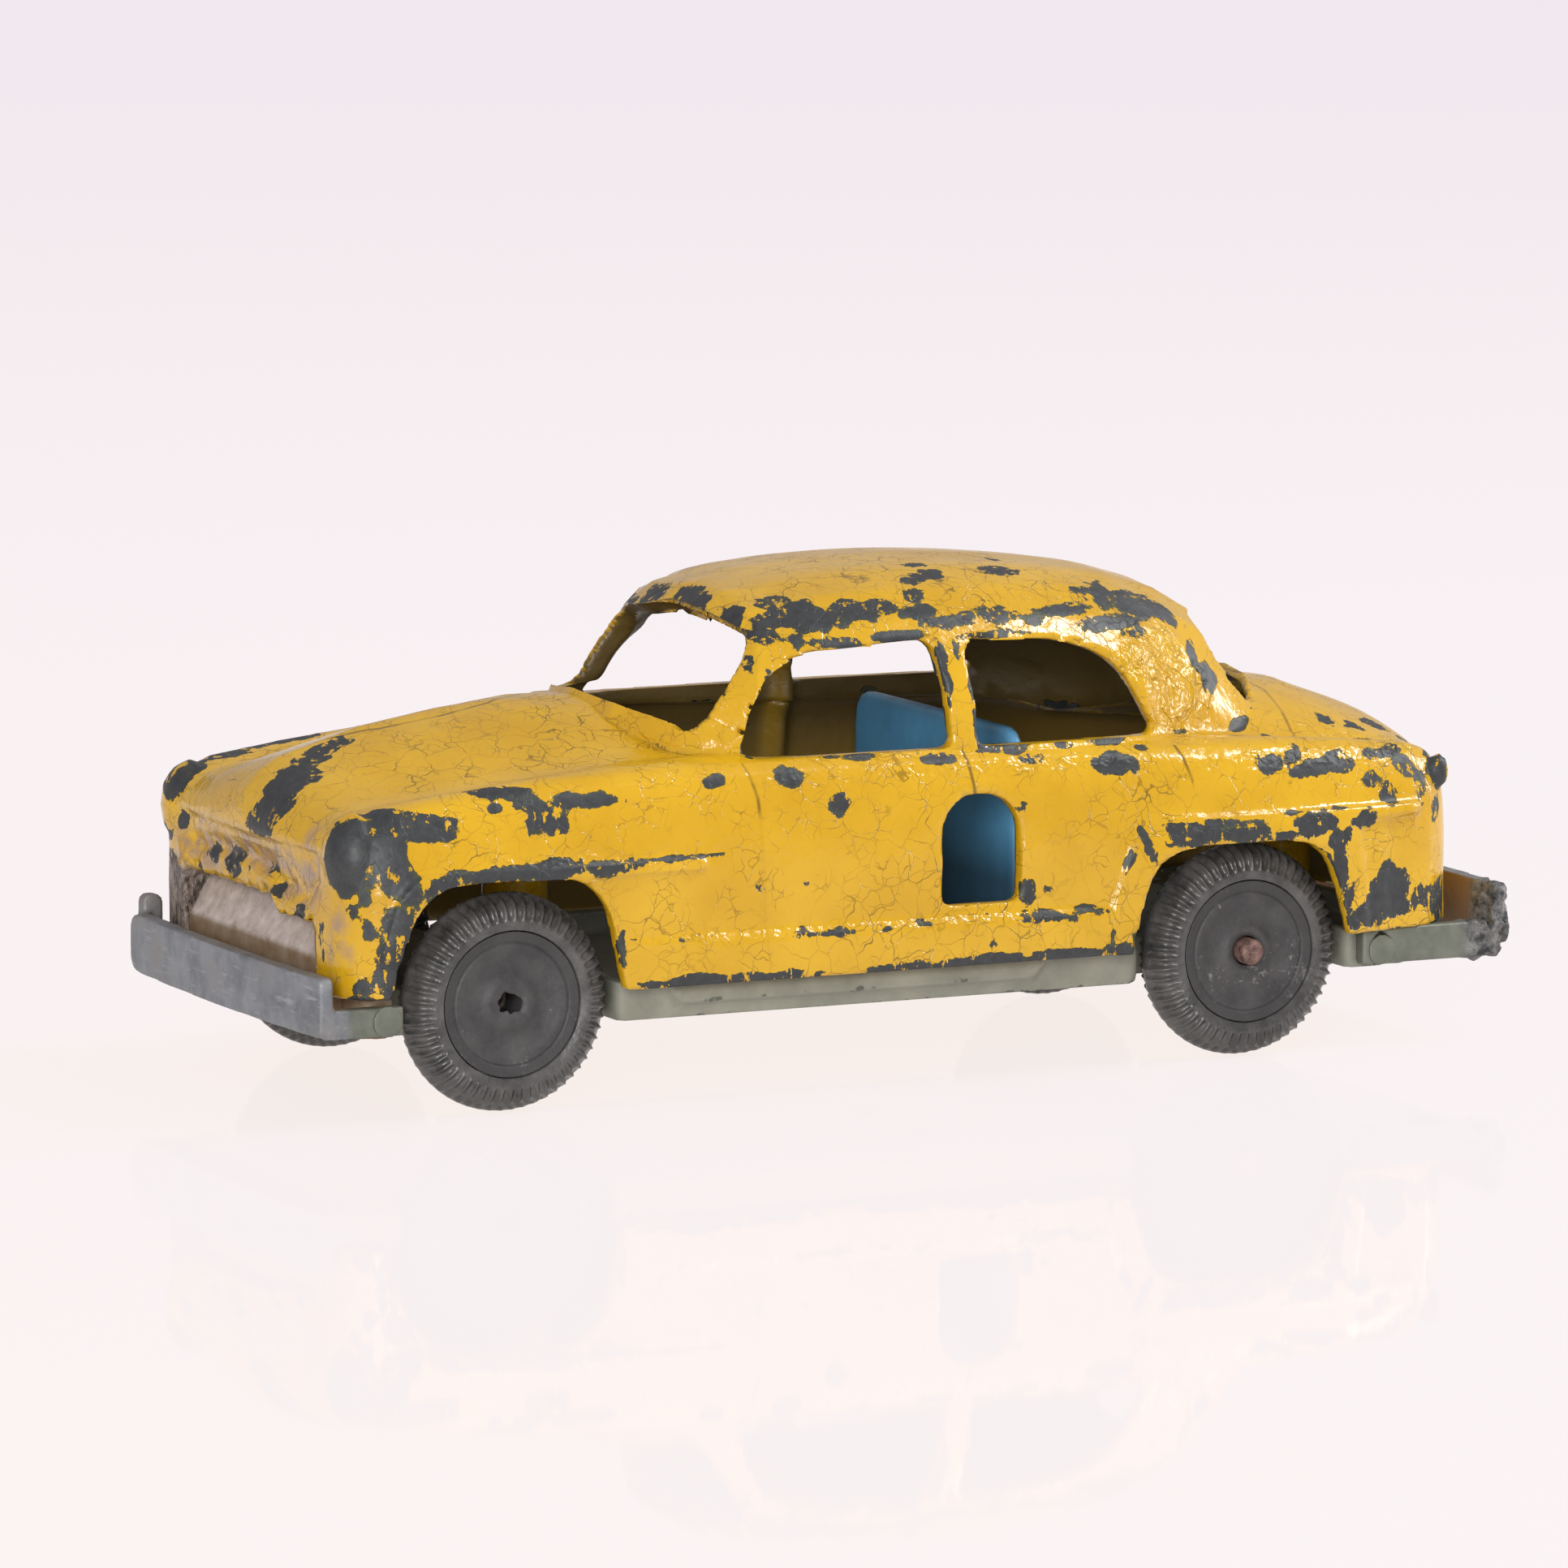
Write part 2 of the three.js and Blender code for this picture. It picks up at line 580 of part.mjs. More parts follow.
function frontFlare() {
  const top = ARCH_FRONT_TOP + FLARE_FRONT_MARGIN;
  const tail = FRONT_AXLE_X - FLARE_TAIL;
  const front = FRONT_AXLE_X + ARCH_HALF_LENGTH + FRONT_ARCH_LEAN + 1.3;
  return roundedShape([
    [tail, top - 0.15],
    [tail, top - FLARE_FRONT_MARGIN],
    [FRONT_AXLE_X - ARCH_HALF_LENGTH + 3, top - FLARE_FRONT_MARGIN],
    [FRONT_AXLE_X, SILL_HEIGHT + 2],
    [front, SILL_HEIGHT + 3],
    [front - 1.6, top, ARCH_CORNER],
  ]);
}

function rearFlare() {
  const reach = ARCH_HALF_LENGTH + FLARE_REAR_MARGIN;
  const top = ARCH_REAR_TOP + FLARE_REAR_MARGIN;
  const middle = REAR_AXLE_X + REAR_ARCH_LEAN;
  return roundedShape([
    [middle - reach, SILL_HEIGHT - 1],
    [middle + reach, SILL_HEIGHT - 1],
    [middle + reach - 0.2, SILL_HEIGHT + 3, 2],
    [middle + reach - 2.2, top, ARCH_CORNER + 1],
    [TAIL_X + 6.5, top],
    [TAIL_X + 6.5, top - 0.7],
    [middle - reach + 1, top - 0.9, 0.5],
  ]);
}

function frontWindow() {
  const rear = PILLAR_X + PILLAR_WIDTH / 2;
  const front = COWL_X - FRONT_WINDOW_GAP;
  return roundedShape([
    [rear - 0.2, SHOULDER_HEIGHT, 0.8],
    [front, SHOULDER_HEIGHT, 1.2],
    [front - FRONT_WINDOW_RAKE, WINDOW_TOP - 0.5, 3.0],
    [rear + 0.5, WINDOW_TOP + 0.2, 1.2],
  ]);
}

function rearWindow() {
  const front = PILLAR_X - PILLAR_WIDTH / 2;
  const rear = CABIN_REAR_X + REAR_WINDOW_GAP;
  return roundedShape([
    [rear, SHOULDER_HEIGHT, 0.8],
    [front - 0.1, SHOULDER_HEIGHT, 0.8],
    [front + 0.2, WINDOW_TOP, 1.2],
    [rear + REAR_WINDOW_RAKE, WINDOW_TOP - 0.3, 2],
    [rear + REAR_WINDOW_SHOULDER, WINDOW_TOP - REAR_WINDOW_DROP, 3],
  ]);
}

// A prism square to a sloping window: its outline is in Y and Z, where the slope's centre line is at x for
// each z, and the facing is +1 for the windscreen and -1 for the rear window.
function throughSlope(outline, centreX, centreZ, lean, facing) {
  const pitch = THREE.MathUtils.degToRad(SCREEN_PITCH);
  const turn = new THREE.Matrix4().makeBasis(
    new THREE.Vector3(0, facing, 0),
    new THREE.Vector3(-facing * lean, 0, 1),
    new THREE.Vector3(facing * Math.cos(pitch), 0, Math.sin(pitch)));
  const prism = extrude(outline, 2 * SCREEN_DEPTH).translate(0, -centreZ, -SCREEN_DEPTH);
  return solid(prism.applyMatrix4(turn).translate(centreX, 0, centreZ));
}

const SCREEN_PITCH = 36;
const SCREEN_DEPTH = 7;

function windscreen() {
  const half = CABIN_HALF_WIDTH - 3.2;
  const sill = HOOD_HEIGHT - 0.2;
  const top = ROOF_HEIGHT - 3.2;
  const outline = roundedShape([
    [-half + 0.5, sill + 0.7, 1.4],
    [-half / 2, sill + 0.1, 3],
    [half / 2, sill + 0.1, 3],
    [half - 0.5, sill + 0.7, 1.4],
    [half, sill + 2.8, 1],
    [half - 0.8, top - 0.4, 3.2],
    [0, top, 4],
    [-half + 0.8, top - 0.4, 3.2],
    [-half, sill + 2.8, 1],
  ]);
  const lean = 6.6 / (top - sill);
  return throughSlope(outline, COWL_X - 0.1, sill, lean, 1);
}

function backlight() {
  const half = CABIN_HALF_WIDTH - 7.4;
  const sill = TRUNK_HEIGHT - 0.5;
  const top = ROOF_HEIGHT - 4.6;
  const outline = roundedShape([
    [-half, sill, 1.6],
    [half, sill, 1.6],
    [half - 1.6, top, 2.4],
    [-half + 1.6, top, 2.4],
  ]);
  const lean = 4.4 / (top - sill);
  return throughSlope(outline, CABIN_REAR_X + 0.7, sill, lean, -1);
}

function doorHole() {
  const half = HOLE_WIDTH / 2;
  return roundedShape([
    [HOLE_X - half, HOLE_BOTTOM, 0.6],
    [HOLE_X + half, HOLE_BOTTOM, 0.4],
    [HOLE_X + half, HOLE_TOP, half * 1.3],
    [HOLE_X - half, HOLE_TOP, half * 1.3],
  ]);
}

function noseScoop() {
  const face = NOSE_X - MOUTH_SET_BACK;
  const profile = roundedShape([
    [NOSE_X + 0.2, NOSE_LIP],
    [face + 0.5, MOUTH_TOP + 2, 1.6],
    [face, MOUTH_TOP - 2],
    [face, 0],
    [NOSE_X + 5, 0],
    [NOSE_X + 5, NOSE_LIP],
  ]);
  return across(profile, -SCOOP_HALF_WIDTH, SCOOP_HALF_WIDTH);
}

function mouth() {
  const outline = roundedShape([
    [-MOUTH_HALF_WIDTH, 0],
    [MOUTH_HALF_WIDTH, 0],
    [MOUTH_HALF_WIDTH, MOUTH_TOP - 0.9, 1],
    [MOUTH_HALF_WIDTH - 5, MOUTH_TOP, 2],
    [-MOUTH_HALF_WIDTH, MOUTH_TOP, 0.8],
  ]);
  return lengthwise(outline, NOSE_X - NOSE_OVERHANG / 2, NOSE_X + 5);
}

function bodyShell() {
  const lampX = NOSE_X - NOSE_BOW * HEADLAMP_Y ** 2 - HEADLAMP_RADII[0] + HEADLAMP_PROUD;
  const tailLampY = DOOR_HALF_WIDTH - TAIL_LAMP_INSET;
  const tailLampX = TAIL_X + TAIL_BOW * tailLampY ** 2 + TAIL_LAMP_SINK;
  const lamps = [-1, 1].flatMap((side) => [
    ellipsoid([lampX, side * HEADLAMP_Y, HEADLAMP_HEIGHT], HEADLAMP_RADII),
    ellipsoid([tailLampX, side * tailLampY, SHOULDER_HEIGHT - TAIL_LAMP_DROP], TAIL_LAMP_RADII, 8),
  ]);
  const relief = hull(FLARE_RELIEF, FLARE_RELIEF, 0, FINE);
  const flareY = DOOR_HALF_WIDTH - 3;
  const flares = [-1, 1].flatMap((side) => [frontFlare(), rearFlare()].map((outline) => {
    const [low, high] = [side * flareY, side * FAR].toSorted((a, b) => a - b);
    return across(outline, low, high).intersect(relief);
  }));
  const outside = join([hull(0, 0, SILL_LEDGE, FINE), cabin(0, CABIN_SKIRT / 2, 20), ...flares, ...lamps]);
  const posts = [FRONT_POST_X, REAR_POST_X].map((x) => rodUp(x, 0, POST_RADIUS, 0, FAR).intersect(outside));
  const below = box(-FAR, FAR, -FAR, FAR, -FAR, SILL_HEIGHT);
  const arches = [-1, 1].flatMap((side) => {
    const [low, high] = [side * BASE_WAIST, side * FAR].toSorted((a, b) => a - b);
    return [
      across(archShape(FRONT_AXLE_X, ARCH_FRONT_TOP, FRONT_ARCH_LEAN), low, high),
      across(archShape(REAR_AXLE_X, ARCH_REAR_TOP, REAR_ARCH_LEAN), low, high),
    ];
  });
  const tyreFace = WHEEL_TRACK / 2 + TYRE_WIDTH / 2 + WHEEL_GAP;
  const wells = [FRONT_AXLE_X, REAR_AXLE_X].map((x) => {
    return rodAcross(x, AXLE_HEIGHT, TYRE_RADIUS + WHEEL_GAP, -tyreFace, tyreFace, WHEEL_SIDES);
  });
  const hollow = join([
    hull(-WALL, -NOSE_WALL, 0, COARSE),
    cabin(-WALL, CABIN_SKIRT, 14),
    below,
    ...arches,
    ...wells,
    noseScoop(),
    mouth(),
    across(frontWindow(), -FAR, FAR),
    across(rearWindow(), -FAR, FAR),
    windscreen(),
    backlight(),
    across(doorHole(), 0, FAR),
  ]);
  const opened = outside.subtract(hollow);
  const postFoot = box(-FAR, FAR, -FAR, FAR, -FAR, FLOOR_TOP + FIT_GAP);
  const bores = [FRONT_POST_X, REAR_POST_X].map((x) => {
    return rodUp(x, 0, RIVET_RADIUS + PRESS_GAP, 0, FLOOR_TOP + POST_BORE_DEPTH);
  });
  return cut(join([opened, ...posts]), [postFoot, ...bores]);
}

// Base plate

function baseOutline(inset) {
  const waist = BASE_WAIST - inset;
  const wide = BASE_HALF_WIDTH - inset;
  const front = BASE_FRONT_X - inset;
  const rear = BASE_REAR_X + inset;
  const clear = BASE_CLEAR + inset;
  const half = [
    [front, wide, BASE_FRONT_CORNER],
    [FRONT_AXLE_X + clear, wide, 0.6],
    [FRONT_AXLE_X + clear, waist],
    [FRONT_AXLE_X - clear, waist],
    [FRONT_AXLE_X - clear, wide, 0.6],
    [REAR_AXLE_X + clear, wide, 0.6],
    [REAR_AXLE_X + clear, waist],
    [REAR_AXLE_X - clear, waist],
    [REAR_AXLE_X - clear, wide, 0.6],
    [rear + 4, wide, BASE_REAR_CORNER],
    [rear, wide - 8, BASE_REAR_CORNER],
  ];
  const right = half.map(([x, y, radius]) => [x, -y, radius]).toReversed();
  return roundedShape([...half, ...right]);
}

function axleHousing(x) {
  const drum = rodAcross(x, AXLE_HEIGHT, HOUSING_RADIUS, -BASE_WAIST, BASE_WAIST);
  const reach = HOUSING_RADIUS - HOUSING_WALL / 2;
  const web = box(x - reach, x + reach, -BASE_WAIST, BASE_WAIST, BASE_BOTTOM, AXLE_HEIGHT);
  return join([drum, web]);
}

function sidePanel(side) {
  const front = FRONT_AXLE_X - TYRE_RADIUS - 4;
  const rear = REAR_AXLE_X + TYRE_RADIUS + 8;
  const panel = roundedShape([
    [rear + 2, FLOOR_TOP],
    [front - 1.5, FLOOR_TOP],
    [front, BASE_RIM_TOP],
    [rear, BASE_RIM_TOP],
  ]);
  const inner = BASE_HALF_WIDTH - BASE_WALL / 2;
  const [low, high] = [side * inner, side * (BASE_HALF_WIDTH + PANEL_RELIEF)].toSorted((a, b) => a - b);
  return across(panel, low, high);
}

function grilleStep() {
  const lip = BASE_FRONT_X + GRILLE_STEP;
  const lipHalfWidth = MOUTH_HALF_WIDTH - GRILLE_GAP;
  const face = NOSE_X - NOSE_WALL - NOSE_SAG - FIT_GAP;
  const top = MOUTH_TOP + GRILLE_RISE;
  const plate = box(face - BASE_WALL, face, -GRILLE_HALF_WIDTH, GRILLE_HALF_WIDTH, BASE_BOTTOM, top);
  const profile = shapeOf([
    [face - BASE_WALL / 2, BASE_BOTTOM],
    [lip, BASE_BOTTOM],
    [lip, GRILLE_LEDGE],
    [face - BASE_WALL / 2, GRILLE_LEDGE + 0.8],
  ]);
  return join([plate, across(profile, -lipHalfWidth, lipHalfWidth)]);
}

// Where each bumper's returns are riveted to the pan's sides, and where the returns end.
const BUMPER_SEATS = [
  {
    end: 'front',
    rivet: (FRONT_AXLE_X + BASE_CLEAR + BASE_FRONT_X) / 2,
    stop: FRONT_AXLE_X + BASE_CLEAR,
  },
  {
    end: 'rear',
    rivet: REAR_AXLE_X - BASE_CLEAR - SMALL_RIVET_HEAD_RADIUS - 1.2,
    stop: REAR_AXLE_X - BASE_CLEAR - 0.8,
  },
];

function seatBores() {
  return [-1, 1].map((side) => {
    const y = side * SEAT_RIVET_SPREAD / 2;
    return rodUp(SEAT_RIVET_X, y, SMALL_RIVET_RADIUS + PRESS_GAP, 0, SEAT_TOP / 2);
  });
}

function basePlate() {
  const pan = upright(baseOutline(0), BASE_BOTTOM, BASE_RIM_TOP);
  const pocket = upright(baseOutline(BASE_WALL), FLOOR_TOP, BASE_RIM_TOP + 1);
  const housings = [FRONT_AXLE_X, REAR_AXLE_X].map(axleHousing);
  const tray = join([pan.subtract(pocket), ...housings, sidePanel(1), sidePanel(-1), grilleStep()]);
  const axleBores = [FRONT_AXLE_X, REAR_AXLE_X].map((x) => {
    return rodAcross(x, AXLE_HEIGHT, AXLE_RADIUS + BORE_GAP, -BASE_HALF_WIDTH, BASE_HALF_WIDTH);
  });
  const postBores = [FRONT_POST_X, REAR_POST_X].map((x) => {
    return rodUp(x, 0, RIVET_RADIUS + PRESS_GAP, 0, FLOOR_TOP + 1);
  });
  const bumperBores = BUMPER_SEATS.map(({ rivet: x }) => {
    return rodAcross(x, RIVET_HEIGHT, SMALL_RIVET_RADIUS + PRESS_GAP, -FAR, FAR, RIVET_SIDES);
  });
  return cut(tray, [...axleBores, ...postBores, ...seatBores(), ...bumperBores]);
}

// Bumpers, each a bent strip: the end is +1 at the front and -1 at the rear.

function bumper(end, faceX, bottom, seat, ears) {
  const tip = BUMPER_HALF_WIDTH;
  const face = (depth, y) => faceX - end * (depth + BUMPER_BOW * (y / tip) ** 2);
  const steps = 8;
  const ys = Array.from({ length: steps + 1 }, (_, i) => -tip + 2 * tip * i / steps);
  const front = ys.map((y) => [face(0, y), y]);
  const back = ys.map((y) => [face(BUMPER_THICKNESS, y), y]).toReversed();
  const blade = upright(shapeOf([...front, ...back]), bottom, bottom + BUMPER_HEIGHT);
  const outline = roundedShape([
    [-tip, bottom, BUMPER_CORNER],
    [tip, bottom, BUMPER_CORNER / 3],
    [tip, bottom + BUMPER_HEIGHT, BUMPER_CORNER / 3],
    [-tip, bottom + BUMPER_HEIGHT, BUMPER_CORNER],
  ]);
  const trimmed = blade.intersect(lengthwise(outline, -FAR, FAR));
  const root = face(BUMPER_THICKNESS / 2, tip);
  const [low, high] = [root, seat.stop].toSorted((a, b) => a - b);
  const returnBottom = RIVET_HEIGHT - RETURN_HEIGHT / 2;
  const returns = [-1, 1].map((side) => {
    const [yLow, yHigh] = [side * BUMPER_RETURN_Y, side * tip].toSorted((a, b) => a - b);
    const top = returnBottom + RETURN_HEIGHT;
    return box(low, high, yLow, yHigh, returnBottom, top);
  });
  const bore = rodAcross(seat.rivet, RIVET_HEIGHT, SMALL_RIVET_RADIUS + PRESS_GAP, -FAR, FAR, RIVET_SIDES);
  return cut(join([trimmed, ...returns, ...ears]), [bore]);
}

// The front strip's right end is folded back into a small ear that stands above the strip.
function bumperEar() {
  const root = BUMPER_FRONT_X - BUMPER_BOW - BUMPER_THICKNESS / 2;
  const top = BUMPER_FRONT_BOTTOM + BUMPER_HEIGHT + EAR_RISE;
  const outline = roundedShape([
    [root - EAR_LENGTH, BUMPER_FRONT_BOTTOM + BUMPER_CORNER],
    [root, BUMPER_FRONT_BOTTOM + BUMPER_CORNER],
    [root, top, EAR_LENGTH / 2],
    [root - EAR_LENGTH, top, EAR_LENGTH / 2],
  ]);
  return across(outline, -BUMPER_HALF_WIDTH, -BUMPER_HALF_WIDTH + BUMPER_THICKNESS);
}

function seatBack() {
  const bottom = FLOOR_TOP + FIT_GAP;
  const rear = SEAT_X - SEAT_THICKNESS / 2;
  const front = SEAT_X + SEAT_THICKNESS / 2;
  const bend = roundedShape([
    [rear, bottom, SEAT_THICKNESS * 2],
    [front + SEAT_FOOT, bottom],
    [front + SEAT_FOOT, bottom + SEAT_THICKNESS],
    [front, bottom + SEAT_THICKNESS, SEAT_THICKNESS],
    [front, SEAT_TOP],
    [rear, SEAT_TOP],
  ]);
  const outline = roundedShape([
    [-SEAT_HALF_WIDTH, 0],
    [SEAT_HALF_WIDTH, 0],
    [SEAT_HALF_WIDTH, SEAT_TOP, SEAT_CORNER],
    [-SEAT_HALF_WIDTH, SEAT_TOP, SEAT_CORNER],
  ]);
  const sheet = across(bend, -FAR, FAR).intersect(lengthwise(outline, -FAR, FAR));
  return cut(sheet, seatBores());
}

// Turned pieces: profiles are [radius, height] points about the Y axis.

function turned(profile, sides) {
  const points = profile.map(([radius, height]) => new THREE.Vector2(radius, height));
  const ring = new THREE.LatheGeometry(points, sides, Math.PI / sides);
  return solid(ring);
}

function tyre() {
  const half = TYRE_WIDTH / 2;
  const bore = TYRE_SEAT_RADIUS + PRESS_GAP;
  const wall = TYRE_RADIUS - bore;
  const profile = [
    [bore, -half * 0.62],
    [bore + wall * 0.3, -half * 0.92],
    [bore + wall * 0.62, -half],
    [bore + wall * 0.88, -half * 0.78],
    [TYRE_RADIUS, -half * 0.42],
    [TYRE_RADIUS, half * 0.42],
    [bore + wall * 0.88, half * 0.78],
    [bore + wall * 0.62, half],
    [bore + wall * 0.3, half * 0.92],
    [bore, half * 0.62],
    [bore, -half * 0.62],
  ];
  return turned(profile, WHEEL_SIDES);
}

// A hub with its outer face towards +Y or -Y.
function hub(side) {
  const half = HUB_RIM_WIDTH / 2;
  const bore = AXLE_RADIUS + PRESS_GAP;
  const rim = TYRE_SEAT_RADIUS;
  const groove = rim - HUB_GROOVE;
  const profile = [
    [bore, -half],
    [rim, -half],
    [rim, half],
    [groove + 0.12, half],
    [groove, half - 0.35],
    [groove - 0.12, half - 0.1],
    [groove - 1.1, half - HUB_DISH],
    [HUB_BOSS_RADIUS + 0.3, half - HUB_DISH * 0.6],
    [HUB_BOSS_RADIUS, half - HUB_DISH * 0.2],
    [bore, half - HUB_DISH * 0.2],
    [bore, -half],
  ];
  const faced = profile.map(([radius, height]) => [radius, side * height]);
  return turned(side > 0 ? faced : faced.toReversed(), WHEEL_SIDES);
}

// A rivet about the Y axis, with its domed head below y = 0 and its shank above.
function rivet(radius, headRadius, head, length) {
  const profile = [
    [0, -head],
    [headRadius * 0.6, -head * 0.8],
    [headRadius, -head * 0.15],
    [headRadius, 0],
    [radius, 0],
    [radius, length - radius * 0.3],
    [radius * 0.7, length],
    [0, length],
  ];
  return turned(profile, RIVET_SIDES);
}

// Finished pieces

const FINISHES = {
  enamel: { color: 0xd9a01e, roughness: 0.32, metalness: 0.0 },
  base: { color: 0x696e5f, roughness: 0.55, metalness: 0.2 },
  blueSheet: { color: 0x376a8c, roughness: 0.45, metalness: 0.1 },
  bareMetal: { color: 0x6f757b, roughness: 0.5, metalness: 0.8 },
  hubMetal: { color: 0x454446, roughness: 0.6, metalness: 0.3 },
  rubber: { color: 0x3c3b3c, roughness: 0.75, metalness: 0.0 },
  axleSteel: { color: 0x8a7468, roughness: 0.55, metalness: 0.8 },
  rivetMetal: { color: 0x7a7a74, roughness: 0.5, metalness: 0.8 },
};

const car = new THREE.Group();
car.name = 'toy_car';

function place(name, body, finish, position = [0, 0, 0], turn = [0, 0, 0]) {
  const { vertProperties, triVerts } = body.getMesh();
  const geometry = new THREE.BufferGeometry();
  geometry.setAttribute('position', new THREE.BufferAttribute(new Float32Array(vertProperties), 3));
  geometry.setIndex(new THREE.BufferAttribute(new Uint32Array(triVerts), 1));
  geometry.computeVertexNormals();
  const piece = new THREE.Mesh(geometry, new THREE.MeshStandardMaterial(FINISHES[finish]));
  piece.name = name;
  piece.position.set(...position);
  piece.rotation.set(...turn);
  car.add(piece);
}

place('body_shell', bodyShell(), 'enamel');
place('base_plate', basePlate(), 'base');
const [frontSeat, rearSeat] = BUMPER_SEATS;
place('front_bumper', bumper(1, BUMPER_FRONT_X, BUMPER_FRONT_BOTTOM, frontSeat, [bumperEar()]), 'bareMetal');
place('rear_bumper', bumper(-1, BUMPER_REAR_X, BUMPER_REAR_BOTTOM, rearSeat, []), 'bareMetal');
place('seat_back', seatBack(), 'blueSheet');

// The front axle's left end lies sunk in its hub, and the other three ends stand out of theirs.
[
  ['front', FRONT_AXLE_X, HUB_FACE_Y - FRONT_AXLE_SINK],
  ['rear', REAR_AXLE_X, AXLE_END_Y],
].forEach(([end, x, leftEnd]) => {
  const axle = rodAcross(0, 0, AXLE_RADIUS, -AXLE_END_Y, leftEnd);
  place(`${end}_axle`, axle, 'axleSteel', [x, 0, AXLE_HEIGHT]);
  [['left', 1], ['right', -1]].forEach(([name, side]) => {
    const spot = [x, side * WHEEL_TRACK / 2, AXLE_HEIGHT];
    place(`hub_${end}_${name}`, hub(side), 'hubMetal', spot);
    place(`tyre_${end}_${name}`, tyre(), 'rubber', spot);
  });
});

[['front', FRONT_POST_X], ['rear', REAR_POST_X]].forEach(([end, x]) => {
  const length = FLOOR_TOP - BASE_BOTTOM + POST_BORE_DEPTH - 2 * FIT_GAP;
  const body = rivet(RIVET_RADIUS, RIVET_HEAD_RADIUS, RIVET_HEAD, length);
  place(`base_rivet_${end}`, body, 'rivetMetal', [x, 0, BASE_BOTTOM - FIT_GAP], [Math.PI / 2, 0, 0]);
});

[['left', 1], ['right', -1]].forEach(([name, side]) => {
  const length = BASE_FLOOR + SEAT_THICKNESS + 2 * FIT_GAP + RIVET_TAIL;
  const body = rivet(SMALL_RIVET_RADIUS, SMALL_RIVET_HEAD_RADIUS, SMALL_RIVET_HEAD, length);
  const spot = [SEAT_RIVET_X, side * SEAT_RIVET_SPREAD / 2, BASE_BOTTOM - FIT_GAP];
  place(`seat_rivet_${name}`, body, 'rivetMetal', spot, [Math.PI / 2, 0, 0]);
});

BUMPER_SEATS.forEach(({ end, rivet: x }) => {
  [['left', 1], ['right', -1]].forEach(([name, side]) => {
    const length = BUMPER_THICKNESS + BASE_WALL + 2 * FIT_GAP + RIVET_TAIL;
    const body = rivet(SMALL_RIVET_RADIUS, SMALL_RIVET_HEAD_RADIUS, SMALL_RIVET_HEAD, length);
    const spot = [x, side * (BUMPER_HALF_WIDTH + FIT_GAP), RIVET_HEIGHT];
    place(`bumper_rivet_${end}_${name}`, body, 'rivetMetal', spot, [side > 0 ? Math.PI : 0, 0, 0]);
  });
});

car.position.x = -(BUMPER_FRONT_X + BUMPER_REAR_X) / 2;

export default car;
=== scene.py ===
import math

import bpy
import numpy as np
from mathutils import Matrix, Vector, kdtree, noise
from mathutils.bvhtree import BVHTree


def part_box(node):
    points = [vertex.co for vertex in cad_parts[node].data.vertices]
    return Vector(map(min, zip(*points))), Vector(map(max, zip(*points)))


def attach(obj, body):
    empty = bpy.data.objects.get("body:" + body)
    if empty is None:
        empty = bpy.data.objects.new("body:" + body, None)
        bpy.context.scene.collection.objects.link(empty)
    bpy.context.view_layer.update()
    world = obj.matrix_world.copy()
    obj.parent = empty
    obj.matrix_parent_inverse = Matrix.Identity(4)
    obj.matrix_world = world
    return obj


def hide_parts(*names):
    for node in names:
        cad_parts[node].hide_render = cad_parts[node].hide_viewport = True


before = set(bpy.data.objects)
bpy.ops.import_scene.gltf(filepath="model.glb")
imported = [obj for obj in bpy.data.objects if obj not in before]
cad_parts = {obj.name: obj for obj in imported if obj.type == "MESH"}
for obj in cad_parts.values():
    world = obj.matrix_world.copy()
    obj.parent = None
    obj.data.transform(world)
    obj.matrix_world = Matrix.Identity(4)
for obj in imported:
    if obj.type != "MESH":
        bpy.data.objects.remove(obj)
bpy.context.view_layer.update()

# Body shell
# One hollow casting in soft grey metal: hood, roof, pillars, fenders and lamps in a single piece.
# It was sprayed with thick gloss enamel, which has crazed all over and worn through on edges.

# Sizes are in mm. Edges that turn by more than these angles in degrees are sharp or creased.
MM = 0.001
SHARP, CREASED = 35, 17
EDGE_STEP = 0.12


def merged_copy(node, name):
    """A copy of a CAD node as an object of its own, with its loose triangles joined."""
    bpy.ops.object.select_all(action="DESELECT")
    piece = bpy.data.objects.new(name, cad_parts[node].data.copy())
    piece.data.materials.clear()
    bpy.context.scene.collection.objects.link(piece)
    bpy.context.view_layer.objects.active = piece
    piece.select_set(True)
    bpy.ops.object.mode_set(mode="EDIT")
    bpy.ops.mesh.select_all(action="SELECT")
    bpy.ops.mesh.remove_doubles(threshold=0.001 * MM)
    bpy.ops.object.mode_set(mode="OBJECT")
    return piece


def search_tree(places):
    """A search tree of numbered places."""
    tree = kdtree.KDTree(len(places))
    for i, place in places.items():
        tree.insert(place, i)
    tree.balance()
    return tree


def edges_over(piece, degrees):
    """Points along a piece's edges that turn by more than an angle, as a search tree."""
    bpy.ops.object.mode_set(mode="EDIT")
    bpy.ops.mesh.select_mode(type="EDGE")
    bpy.ops.mesh.select_all(action="DESELECT")
    bpy.ops.mesh.edges_select_sharp(sharpness=math.radians(degrees))
    bpy.ops.object.mode_set(mode="OBJECT")
    samples = []
    for edge in piece.data.edges:
        if edge.select:
            start, end = (piece.data.vertices[i].co for i in edge.vertices)
            count = max(int((end - start).length / (EDGE_STEP * MM)), 1)
            samples += [start.lerp(end, i / count) for i in range(count + 1)]
    return search_tree(dict(enumerate(samples)))


